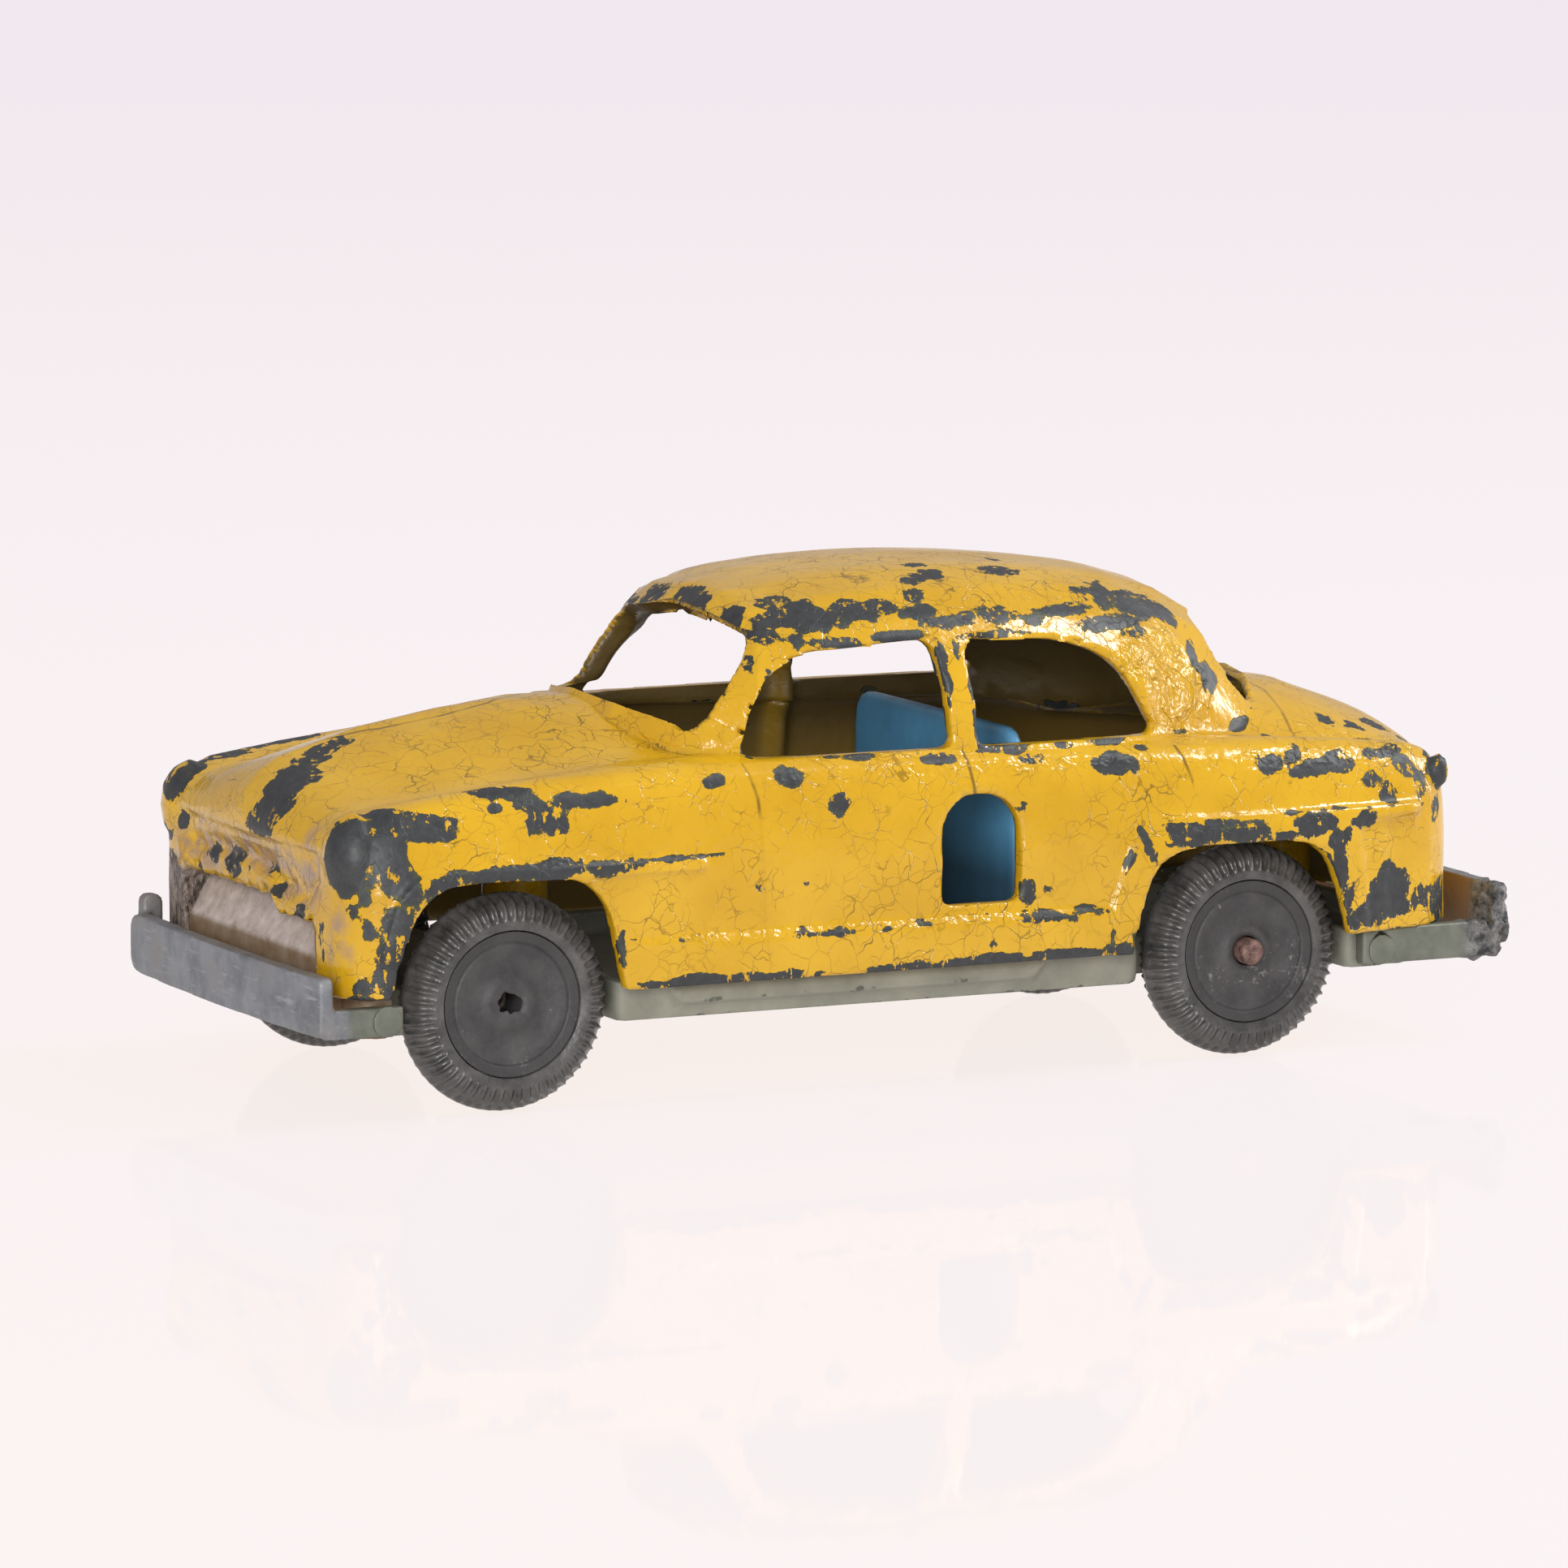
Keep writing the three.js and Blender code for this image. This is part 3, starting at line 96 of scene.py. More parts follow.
def cast_skin(piece, grain, passes, edges, reach):
    """Gives a piece an even skin of small faces, eased like paint but drawn out to its edges."""
    skin = piece.modifiers.new("skin", "REMESH")
    skin.mode = "VOXEL"
    skin.voxel_size = grain * MM
    skin.use_smooth_shade = True
    ease = piece.modifiers.new("ease", "SMOOTH")
    ease.iterations = passes
    for modifier in ("skin", "ease"):
        bpy.ops.object.modifier_apply(modifier=modifier)
    for vertex in piece.data.vertices:
        edge_point, _, distance = edges.find(vertex.co)
        vertex.co = vertex.co.lerp(edge_point, math.exp(-(distance / (reach * MM)) ** 2))


def distance_to(edges, mesh):
    """The distance of each point of a mesh from some edges, in mm."""
    return np.array([edges.find(vertex.co)[2] for vertex in mesh.vertices]) / MM


def smooth_step(low, high, value):
    """A smooth rise from 0, where the value is low, to 1, where it is high."""
    share = np.clip((value - low) / (high - low), 0, 1)
    return share * share * (3 - 2 * share)


def region(*ramps):
    """Where some smooth steps overlap: each runs from 0 at its first number to 1 at its second."""
    share = 1.0
    for low, high, value in ramps:
        share = share * smooth_step(low, high, value)
    return share


def points_of(mesh):
    """The points of a mesh as an array in mm."""
    flat = np.empty(len(mesh.vertices) * 3)
    mesh.vertices.foreach_get("co", flat)
    return flat.reshape(-1, 3) / MM


def set_points(piece, points):
    """Moves the points of a piece to places in mm."""
    piece.data.vertices.foreach_set("co", (points * MM).ravel())
    piece.data.update()


def normals_of(mesh):
    """The normals at the points of a mesh as an array."""
    flat = np.empty(len(mesh.vertices) * 3)
    mesh.vertex_normals.foreach_get("vector", flat)
    return flat.reshape(-1, 3)


def mark(piece, name, values):
    """Keeps a value at each point of a piece, which its material reads by name."""
    kept = piece.data.attributes.new(name, "FLOAT", "POINT").data
    kept.foreach_set("value", values.astype(np.float32))


def lumpy(points, size, seed):
    """A smooth random value from about -1 to 1 at each point, with lumps of a size in mm."""
    shift = Vector((seed, 0, 0))
    return np.array([noise.noise(Vector(point) / size + shift) for point in points])


CABIN_CORE = ((-38, 38), (-3, 3), (14, 26))


def facing_inward(mesh):
    """How far each point of the casting faces a box in the middle of the car, from 0 to 1."""
    sides = zip(points_of(mesh).T, CABIN_CORE)
    core = np.stack([along - np.clip(along, low, high) for along, (low, high) in sides])
    inward = -(core * normals_of(mesh).T).sum(0) / np.maximum(np.linalg.norm(core, axis=0), 0.01)
    return smooth_step(0.15, 0.45, inward)


def select_points(piece, chosen):
    """Selects the chosen points of a piece and leaves it in edit mode."""
    bpy.ops.object.mode_set(mode="EDIT")
    bpy.ops.mesh.select_mode(type="VERT")
    bpy.ops.mesh.select_all(action="DESELECT")
    bpy.ops.object.mode_set(mode="OBJECT")
    piece.data.vertices.foreach_set("select", chosen)
    bpy.ops.object.mode_set(mode="EDIT")


def smoothed(piece, weights, passes, step=0.5):
    """Moves each point by steps towards the middle of its neighbours, as much as its weight."""
    ends = np.empty(len(piece.data.edges) * 2, int)
    piece.data.edges.foreach_get("vertices", ends)
    ends = ends.reshape(-1, 2)
    ends = ends[(weights[ends] > 0).any(1)]
    here, there = ends.ravel(), ends[:, ::-1].ravel()
    points = points_of(piece.data)
    neighbours = np.maximum(np.bincount(here, minlength=len(points)), 1)
    for _ in range(passes):
        sums = [np.bincount(here, points[there, axis], len(points)) for axis in range(3)]
        middle = np.stack(sums, 1) / neighbours[:, None]
        points += step * weights[:, None] * (middle - points)
    set_points(piece, points)


body = merged_copy("body_shell", "body")
body_faces = BVHTree.FromPolygons(
    [vertex.co.copy() for vertex in body.data.vertices],
    [tuple(face.vertices) for face in body.data.polygons])
body_edges = edges_over(body, SHARP)
body_creases = edges_over(body, CREASED)
cast_skin(body, grain=0.38, passes=3, edges=body_edges, reach=0.26)

# The inside is hardly seen, so its skin is coarser, apart from a rib on the right door post.
# The broad faces between the creases are faired.
INSIDE_SHARE = 0.12
RIB_ZONE, RIB_ZONE_HALF = -3.9, 2.6
x, y, _ = points_of(body.data).T
at_rib = (y < -12) & (np.abs(x - RIB_ZONE) < RIB_ZONE_HALF)
select_points(body, (facing_inward(body.data) > 0.9) & ~at_rib)
bpy.ops.mesh.decimate(ratio=INSIDE_SHARE)
bpy.ops.object.mode_set(mode="OBJECT")
off_creases = distance_to(body_creases, body.data)
fair = smooth_step(0.8, 2.4, off_creases) * (1 - facing_inward(body.data))
smoothed(body, fair, passes=36)


def frame_share(mesh):
    """How far each point belongs to the thin frames of the windscreen and the rear window."""
    x, y, z = points_of(mesh).T
    rear = region((-27, -28, x), (9.5, 8.5, np.abs(y)), (25.4, 26, z))
    share = np.maximum(region((8.5, 9.5, x), (24.4, 25, z)), rear)
    return share * smooth_step(2.2, 1.4, distance_to(body_edges, mesh))


def laid_on_casting(weights):
    """Draws each point of the body, as much as its weight, to the nearest face of the CAD body."""
    for i in np.flatnonzero(weights > 0):
        vertex = body.data.vertices[int(i)]
        vertex.co = vertex.co.lerp(body_faces.find_nearest(vertex.co)[0], float(weights[i]))


# These frames are thin, so their skin is finer. It is laid on the casting's own faces, its nearest
# points are pinned to the casting's edges, and the points between are eased and laid on again.
CABIN_MIDDLE, CABIN_REACH = Vector((0, 0, 29)), 50
PIN_SPACING, PIN_REACH = 0.12, 0.6
PASSES_PER_ROUND = (8, 8, 8, 4)
select_points(body, frame_share(body.data) > 0.05)
bpy.ops.mesh.subdivide(number_cuts=1)
bpy.ops.object.mode_set(mode="OBJECT")
share = frame_share(body.data)
smoothed(body, share, passes=6)
laid_on_casting(share)
frame_edges = []
for sample, _, _ in body_edges.find_range(CABIN_MIDDLE * MM, CABIN_REACH * MM):
    x, y, z = sample / MM
    front_edge = z > 25 and x > (12.9 if abs(y) < 9 and z > 31 else 9.5)
    if front_edge or (z > 26.4 and x < -28.5 and abs(y) < 8):
        frame_edges.append(sample)
pins = {}
for passes in PASSES_PER_ROUND:
    free = [int(i) for i in np.flatnonzero(share > 0.5)]
    loose = search_tree({i: body.data.vertices[i].co for i in free})
    held = search_tree(pins)
    for sample in frame_edges:
        if not pins or held.find(sample)[0] is None or held.find(sample)[2] > PIN_SPACING * MM:
            _, i, distance = loose.find(sample)
            if distance < PIN_REACH * MM and i not in pins:
                pins[i] = sample
    for i, place in pins.items():
        body.data.vertices[i].co = place
        share[i] = 0
    smoothed(body, share, passes)
laid_on_casting(share)
smoothed(body, frame_share(body.data), passes=1, step=0.3)

# How far the worn and bent casting departs from its plain shape.
NOSE_SET_BACK, LIP_HANG, LIP_BULGE, LIP_DROP, LIP_BEAD, SIDE_HANG = 0.65, 0.45, 0.4, 1.4, 0.35, 0.8
SILL_LIFT, SKIRT_DROP, FLARE_SWELL, PILLAR_SWELL, RIB_DEPTH = 1.2, 0.4, 0.3, 0.28, 1.1
FAR_POST_BACK, FAR_HEAD_BACK, NEAR_POST_FORWARD = 0.75, 0.65, 0.95
FOOT_FORWARD, FOOT_INWARD, HEAD_BACK, HEAD_LIFT, HEAD_THINNING = 0.7, 0.66, 0.8, 0.5, 0.4

# Below the hood's front lip the nose is set back. The mouth is cast with a ragged lip that hangs
# lower on the left.
shape = points_of(body.data)
x, y, z = shape.T
off_middle = np.abs(y)
nose = region((43.5, 45, x), (13.6, 11.6, off_middle), (19.4, 18.8, z), (16.2, 16.9, z))
mouth_lip = region((42.5, 44, x), (18.4, 16.2, z), (14.2, 15.2, z), (13.4, 12.4, off_middle))
mouth_side = region((43, 44.5, x), (15.6, 14.6, z), (15, 13.4, off_middle))
near = np.flatnonzero(mouth_lip + mouth_side > 0)
hang, bulge = np.zeros((2, len(shape)))
hang[near] = LIP_HANG * lumpy(shape[near], 1.3, 3)
bulge[near] = LIP_BULGE * lumpy(shape[near], 0.9, 8)
drop = LIP_DROP * region((3, 5.5, y), (12.6, 11.2, y))
bead = mouth_lip * smooth_step(16.6, 15.6, z)

# The right side's window sills stand higher than the left ones, and the sill strip reaches over
# the base plate.
far_sill = region((-10.5, -12, y), (21.4, 23.6, z), (27, 25, z), (-26, -23, x), (20, 17, x))
skirt = region((10, 9, z), (-18.5, -16.5, x), (26.5, 24.5, x))

# The rear wheel arches have a swelled flare, whose top edge runs on to the tail.
REAR_AXLE, FLARE_LENGTH, FLARE_FOOT, FLARE_HEIGHT, FLARE_SQUARENESS = -26.7, 11.2, 8, 10.6, 4
along_flare = np.maximum(x - REAR_AXLE, 0) / FLARE_LENGTH
up_flare = np.maximum(z - FLARE_FOOT, 0) / FLARE_HEIGHT
outline = (along_flare ** FLARE_SQUARENESS + up_flare ** FLARE_SQUARENESS) ** (1 / FLARE_SQUARENESS)
flare = region((0, 1.1, 11 * (1 - outline)), (-38.5, -37, x))
run_on = region((18.7, 18.4, z), (17.2, 17.9, z), (-41, -39, x)) * (x < -30)
flare = np.maximum(flare, run_on)
outward = np.where(off_middle > 16.4, np.sign(y), 0)

# The windscreen's frame is bent: its right post leans back, its left post stands forward and its
# head is pushed up.
facing = normals_of(body.data)
far_post = region((-2, -10.5, y), (8, 10.5, x), (24, 19, x), (23.2, 25.4, z))
lean_back = far_post * (FAR_POST_BACK + FAR_HEAD_BACK * smooth_step(28, 31.5, z))
near_post = region((11, 12.4, y), (8.6, 10, x), (24.6, 28.8, z), (32.2, 29.6, z))
post_foot = region((11, 12, y), (14.5, 13.3, y), (11, 12.2, x), (25, 27, z), (30.2, 27, z))
head = region((7.5, 12.4, x), (30.8, 31.8, z), (-4, 3, y), (12.8, 11, y))
underside = smooth_step(-0.1, -0.6, facing[:, 2])
far_pillar = region((-11, -12, y), (9.5, 11, x), (26, 27.5, z), (32, 31, z))

# A rib runs down the inside of the right door post.
RIB_MIDDLE, RIB_WIDTH = -4.2, 0.75
rib = np.exp(-((x - RIB_MIDDLE) / RIB_WIDTH) ** 2) * facing_inward(body.data)
rib = rib * region((-12, -13, y), (15, 18, z), (31, 29, z))

shape += PILLAR_SWELL * far_pillar[:, None] * facing
shape[:, 0] += (
    bulge * mouth_lip + LIP_BEAD * bead - NOSE_SET_BACK * nose - lean_back
    + NEAR_POST_FORWARD * near_post + FOOT_FORWARD * post_foot - HEAD_BACK * head)
shape[:, 1] += (
    SIDE_HANG * hang * mouth_side + FLARE_SWELL * flare * outward
    + RIB_DEPTH * rib - FOOT_INWARD * post_foot)
shape[:, 2] += (
    SILL_LIFT * far_sill - SKIRT_DROP * skirt + (hang - drop) * mouth_lip
    + (HEAD_LIFT + HEAD_THINNING * underside) * head)
set_points(body, shape)

# Where the enamel is gone, as ovals in mm: middle, half length, half height and a tilt in degrees.
# The sides' are (x, z), the top's (x, y) and the nose's (y, z).
SIDE_WEAR = [
    # Front fender and cowl
    (34.2, 23.2, 2.3, 0.5), (34.6, 22.4, 0.7, 0.3), (32, 22.4, 1.3, 0.7), (28.2, 22.4, 3, 0.6),
    (30.9, 21.2, 2.0, 1.1), (17.3, 23.2, 1, 0.45), (11.6, 23.2, 1.5, 0.65), (7.7, 21.1, 0.9, 0.8),
    # Front arch
    (39.3, 17.2, 2.2, 0.6, -14), (35.6, 17.7, 2.6, 0.6), (31, 17.8, 3.2, 0.75),
    (26.6, 17.7, 2.2, 0.7), (22.8, 18, 2.2, 0.2), (19.6, 18, 1.7, 0.16),
    # Sill strip
    (19, 8.9, 5, 0.6), (12.4, 8.8, 2.6, 0.5), (2.6, 8.8, 3.4, 0.6), (-4, 8.9, 4, 0.55),
    (-10, 8.9, 4, 0.6), (-15, 9, 2.6, 0.6),
    # Doors
    (25.2, 11.5, 0.35, 1.5), (8.4, 11.8, 1.5, 0.3), (-8, 11.8, 1.9, 0.35), (-11, 11.7, 0.7, 0.45),
    (-13.6, 12, 0.7, 0.15), (1.7, 12, 1.4, 0.2), (10.5, 15.6, 0.22, 0.28), (14.4, 15.4, 0.2, 0.2),
    (-4.5, 10, 0.28, 0.3), (-9.2, 13.8, 0.25, 0.22),
    # Belt
    (-0.9, 23.8, 1.1, 0.3), (-9, 23.6, 1, 0.35), (-14.7, 22.7, 1.9, 0.75),
    (-16.7, 22.1, 0.9, 0.5), (-17.4, 23.6, 0.8, 0.2),
    # Rear fender
    (-27.8, 22, 0.9, 0.9), (-30.2, 22.4, 0.8, 0.6), (-31.3, 21.5, 1.9, 0.6),
    (-34, 21.7, 1.3, 0.9), (-38.4, 22.1, 1.7, 0.4), (-40, 21, 1.4, 0.7, 35),
    (-41, 19.6, 0.7, 1.4), (-42.4, 17.6, 0.5, 0.8), (-36.5, 20.2, 0.9, 0.6),
    (-37.9, 19.2, 1, 0.8), (-35.4, 17.7, 1, 0.6), (-43, 20.6, 0.9, 1.5),
    # Rear arch
    (-21.1, 17.2, 3.1, 0.9), (-17, 17, 0.35, 1.6, -20), (-25.5, 17, 1.7, 0.6),
    (-22.4, 18.1, 3.6, 0.25), (-31.1, 17.5, 1.8, 0.9), (-33.2, 14.4, 0.6, 2.6),
    (-28.2, 16.8, 2, 0.45), (-32.9, 16.4, 0.9, 0.8),
    # Below the tail
    (-34, 11.4, 0.5, 1.6), (-34.6, 10, 1, 0.6), (-38.6, 10.6, 1.4, 0.9), (-38.1, 12.2, 1.9, 1.9),
    (-36.2, 10.5, 1.7, 1.2), (-41.1, 11.2, 1.1, 0.9), (-43.1, 10.9, 1, 1.9),
    # Arched hole
    (-6.7, 20.1, 0.5, 0.5), (-7.5, 13.8, 0.6, 0.6),
    # Roof edge
    (10.4, 33.8, 1.3, 0.5), (7.8, 34.7, 2, 0.45), (7.1, 33.9, 2.8, 0.9), (3, 34.3, 3, 0.6),
    (11.1, 32.8, 1.8, 0.5), (9, 32.2, 0.5, 0.9), (5.5, 32.3, 2.3, 0.4), (1, 32.5, 2.4, 0.35),
    (-1.2, 34, 1.7, 0.5), (-3.3, 33.3, 2.2, 0.55), (-7.6, 33.6, 1.5, 0.7), (-6.6, 32.3, 3.2, 0.3),
    (-2.1, 31, 0.4, 1.4), (-3.4, 31.2, 0.25, 1.7), (-4.9, 33.4, 0.7, 0.5),
    (-10.6, 33.1, 0.7, 0.55), (-13.7, 33.6, 2.9, 0.35), (-16, 34.3, 0.8, 0.4),
    (-17.7, 34.1, 1.3, 0.8), (-20.7, 33.3, 2.4, 0.9, 12), (-23.4, 32.5, 1.6, 0.6, 22),
    (-17.3, 32.5, 3.2, 0.55), (-19.3, 31.7, 1.3, 0.4),
    # Pillars
    (-25.3, 29.4, 0.6, 1.1), (-26.7, 27.7, 0.9, 1.3), (12.7, 31.2, 0.3, 0.6),
    (11.9, 30, 0.3, 0.6),
    # Lamp and front corner
    (44.6, 20.8, 1.6, 1.6), (44.4, 18.7, 1.2, 1.4), (42.8, 21.4, 1.9, 1.2), (40.1, 21.1, 2, 1),
    (43.2, 19.4, 1.6, 1.6), (42.4, 17.2, 1.4, 1.4), (42.9, 14.6, 1.2, 1.7), (43, 12.1, 1.1, 1.6),
    (43.5, 10.2, 1.1, 1), (45, 9.8, 0.7, 0.5), (44.7, 14, 0.5, 0.8), (45, 16.4, 0.4, 0.6),
]

TOP_WEAR = [
    # Roof
    (-4.4, 6, 0.9, 0.5), (-4.4, 8.3, 1.5, 0.9, 25), (-2.9, 9.3, 1.1, 0.7),
    (-1.8, 11, 1.0, 0.7, 30), (-10.6, 7.3, 2, 1), (-12, 3.8, 0.8, 0.8),
    # Windscreen head
    (12.7, -2.2, 1, 1.7), (12.5, 3.4, 1, 2.6), (12.2, 9, 0.9, 1.5),
    # Trunk
    (-37.2, 9.9, 0.9, 0.7), (-39.3, 10.3, 1, 1), (-42, 8.7, 0.9, 1),
    # Hood
    (40.4, 1.3, 1.5, 1), (42.4, 2.3, 1.8, 1.4, 35), (44.4, 3.8, 1.7, 1.9, 30),
    (46, 4.6, 1.4, 2.2), (42, -14.9, 2.4, 0.8), (37.2, -15.5, 3.4, 0.7),
    # Right half
    (2, -9, 1.4, 0.6), (-18, -6, 1.6, 0.9), (30, -4, 0.8, 0.4), (-38, -6, 1.4, 0.7),
]

NOSE_WEAR = [
    # Left lamp
    (16.6, 19.2, 1.9, 3.1),
    # Hood lip
    (4.4, 22.4, 1.9, 1.6), (4.2, 21, 2.3, 1.2), (3.2, 19.9, 2.2, 0.8),
    # Right lamp
    (-14, 20.6, 1, 1.2), (-15.5, 17.2, 0.5, 0.9),
    # Mouth
    (-7.4, 16.6, 0.9, 0.7), (-3.5, 16.3, 1.3, 1), (-0.5, 16.1, 0.5, 0.4), (3.8, 16.6, 1.2, 0.4),
    (4.6, 15.4, 0.5, 0.5), (8.8, 14.2, 1.2, 0.6), (-9.9, 15.2, 0.4, 0.4), (13.4, 12.8, 0.35, 1),
    (13.6, 14, 0.4, 0.4), (17, 15.5, 0.4, 0.6),
    # Right corner
    (-14.2, 12, 2.3, 3.4), (-12.5, 18.2, 0.6, 0.5), (-14.8, 15.4, 0.7, 0.6),
]

FAR_OFF = 9.0


def worn(along, up, spots):
    """How far inside the nearest of some oval spots each point lies, in mm, below zero outside."""
    depth = np.full(len(along), -FAR_OFF)
    for middle, height, half_length, half_height, *tilt in spots:
        turn = math.radians(tilt[0] if tilt else 0)
        run = (along - middle) * math.cos(turn) + (up - height) * math.sin(turn)
        rise = (up - height) * math.cos(turn) - (along - middle) * math.sin(turn)
        reach = np.hypot(run / half_length, rise / half_height)
        depth = np.maximum(depth, (1 - reach) * math.sqrt(half_length * half_height))
    return depth


def line_offset(along, up, lines):
    """The signed distance of each point from the nearest of some drawn lines, in mm."""
    nearest = np.full(len(along), FAR_OFF)
    for line in lines:
        for (a0, b0), (a1, b1) in zip(line, line[1:]):
            length = math.hypot(a1 - a0, b1 - b0)
            run = ((along - a0) * (a1 - a0) + (up - b0) * (b1 - b0)) / length
            off = ((up - b0) * (a1 - a0) - (along - a0) * (b1 - b0)) / length
            past = np.maximum(np.maximum(-run, run - length), 0)
            value = np.where(off < 0, -1, 1) * np.hypot(off, past)
            nearest = np.where(np.abs(value) < np.abs(nearest), value, nearest)
    return nearest


x, y, z = points_of(body.data).T
face_x, face_y, face_z = normals_of(body.data).T

# The right side is worn like the left, end for end, about the middle of the wheelbase.
WHEELBASE_MIDDLE = 3.3
wear = np.full(len(x), -FAR_OFF)
side_from = np.where(x > 19, 14.5, 4)
for shows, depth in (
    ((face_y > 0.05) & (y > side_from), worn(x, z, SIDE_WEAR)),
    ((face_y < -0.05) & (y < -side_from), worn(2 * WHEELBASE_MIDDLE - x, z, SIDE_WEAR)),
    ((face_z > 0.35) & (z > 20), worn(x, y, TOP_WEAR)),
    ((face_x > 0.25) & (x > 41), worn(y, z, NOSE_WEAR)),
):
    wear = np.where(shows, np.maximum(wear, depth), wear)

# Cast lines round the doors, as (x, z), and round the lids, as (x, y), with one crack in the hood.
DOOR_LINES = [
    [(14.8, 24), (14.2, 21.8), (13.7, 10.6)],
    [(-3, 24), (-3.4, 21)],
    [(-20.4, 23.8), (-21.2, 21.2)],
]
LID_LINES = [
    [(-33.4, -3), (-33.4, 3), (-34.1, 5.7), (-33.6, 9.5), (-33, 12)],
    [(-33.4, -3), (-34.1, -5.7), (-33.6, -9.5), (-33, -12)],
    [(18.6, 10.6), (17.3, 13.4)],
    [(18.6, -10.6), (17.3, -13.4)],
    [(40.3, 0.2), (36.5, 1.3), (31.7, 1.6), (27.9, 1.0), (24.4, -0.9)],
]
on_side = (np.abs(face_y) > 0.4) & (face_y * y > 0)
side_seam = np.where(on_side, line_offset(x, z, DOOR_LINES), FAR_OFF)
top_seam = np.where((face_z > 0.3) & (z > 22), line_offset(x, y, LID_LINES), FAR_OFF)
seam = np.where(np.abs(side_seam) < np.abs(top_seam), side_seam, top_seam)

# The inside's paint is darkened with painted shade, and the front flank of the rib is kept lighter
# as a painted highlight.
FLANK_MIDDLE, FLANK_WIDTH, FLANK_SHARE = -3.5, 0.7, 0.3
inside = facing_inward(body.data)
lit_rib_flank = smooth_step(-12, -13, y) * np.exp(-((x - FLANK_MIDDLE) / FLANK_WIDTH) ** 2)
inside = inside * (1 - FLANK_SHARE * lit_rib_flank)

# The enamel is wrinkled on the left rear pillar, and a little on the ledges. The mouth is grimy,
# with a crust at its right end.
PILLAR_WRINKLES = [(-20.5, 30, 3.6, 2.4), (-23.4, 26.6, 3, 2.8)]
LEDGE_WRINKLES = [
    (-1, 22.9, 17, 0.5), (-32, 22.3, 12, 0.6), (13, 12.2, 8, 0.4), (0, 12.1, 8, 0.35),
    (30, 18.6, 8, 0.5),
]
MOUTH_GRIME = [
    (3, 17.6, 5, 1.6), (-8, 17, 5, 1.8), (9, 16.2, 4.5, 1.8), (-13.6, 12.6, 1.8, 3.6),
    (15.7, 12.6, 0.9, 2.4), (11.6, 18.6, 1, 2),
]
LEDGE_SHARE = 0.4
wrinkle = np.where(face_y > 0, smooth_step(-0.6, 0.8, worn(x, z, PILLAR_WRINKLES)), 0)
ledges = LEDGE_SHARE * smooth_step(-0.5, 0.6, worn(x, z, LEDGE_WRINKLES))
wrinkle = np.maximum(wrinkle, np.where(face_y * y > 0, ledges, 0)) * (1 - inside)
in_mouth = (face_x > 0.1) & (x > 40)
grime = np.where(in_mouth, smooth_step(-1.2, 0.8, worn(y, z, MOUTH_GRIME)), 0)
crust = region((-11, -12, y), (-16.4, -15.4, y), (15.4, 14.6, z), (43, 44, x))

# Edges are rubbed bare, but the lip under the windscreen has kept its paint.
edge = distance_to(body_edges, body.data)
edge += region((14.5, 15.5, x), (23.5, 24.5, z), (30, 28, z))
BODY_MARKS = {
    "wear": wear, "edge": edge, "seam": seam, "inside": inside, "wrinkle": wrinkle,
    "grime": grime, "crust": crust,
}
for name, values in BODY_MARKS.items():
    mark(body, name, values)


def linear(code):
    """An sRGB hex colour as linear RGBA."""
    parts = [int(code[i:i + 2], 16) / 255 for i in (1, 3, 5)]
    bent = [p / 12.92 if p <= 0.04045 else ((p + 0.055) / 1.055) ** 2.4 for p in parts]
    return (*bent, 1.0)


def per(size):
    """The texture scale that gives a pattern of this size in mm."""
    return 1 / (size * MM)


def add(tree, kind, inputs=None, **settings):
    """Adds a node with its settings, its fixed inputs and its links from other nodes' outputs."""
    made = tree.nodes.new("ShaderNode" + kind)
    for name, value in settings.items():
        setattr(made, name, value)
    for name, value in (inputs or {}).items():
        if isinstance(value, bpy.types.NodeSocket):
            tree.links.new(value, made.inputs[name])
        else:
            made.inputs[name].default_value = value
    return made


def marked(tree, name):
    """The value that was kept at each point of a piece under a name."""
    return add(tree, "Attribute", attribute_name=name).outputs["Fac"]


def noise_at(tree, place, size, detail, rough=0.5):
    """Noise between 0 and 1 with lumps of a size in mm."""
    return add(tree, "TexNoise", {
        "Vector": place, "Scale": per(size), "Detail": detail, "Roughness": rough}).outputs["Fac"]


def ramp(tree, value, low, high, start=0, end=1):
    """A straight ramp from the start, where a value is low, to the end, where it is high."""
    sockets = {"Value": value, "From Min": low, "From Max": high, "To Min": start, "To Max": end}
    return add(tree, "MapRange", sockets).outputs[0]


def mixed(tree, share, first, second):
    """A share of a second colour over a first one. Each is a hex code or another node's output."""
    first, second = (linear(c) if isinstance(c, str) else c for c in (first, second))
    return add(tree, "Mix", {0: share, 6: first, 7: second}, data_type="RGBA").outputs[2]


def maths(tree, operation, *values):
    """A sum, product or the like of some values."""
    return add(tree, "Math", dict(enumerate(values)), operation=operation).outputs[0]


def product(tree, value, *others):
    """Some values multiplied together."""
    for other in others:
        value = maths(tree, "MULTIPLY", value, other)
    return value


def new_material(name, **sockets):
    """A material, its nodes and its object coordinates, with the sockets that never vary."""
    made = bpy.data.materials.new(name)
    made.use_nodes = True
    tree = made.node_tree
    for socket, value in sockets.items():
        tree.nodes["Principled BSDF"].inputs[socket.replace("_", " ")].default_value = value
    return made, tree, add(tree, "TexCoord").outputs["Object"]


def surface(tree, height, **sockets):
    """Links a material's varying sockets, and its relief from heights in mm."""
    bump = add(tree, "Bump", {"Height": height, "Distance": MM, "Strength": 1.0})
    sockets["Normal"] = bump.outputs[0]
    for socket, value in sockets.items():
        tree.links.new(value, tree.nodes["Principled BSDF"].inputs[socket.replace("_", " ")])


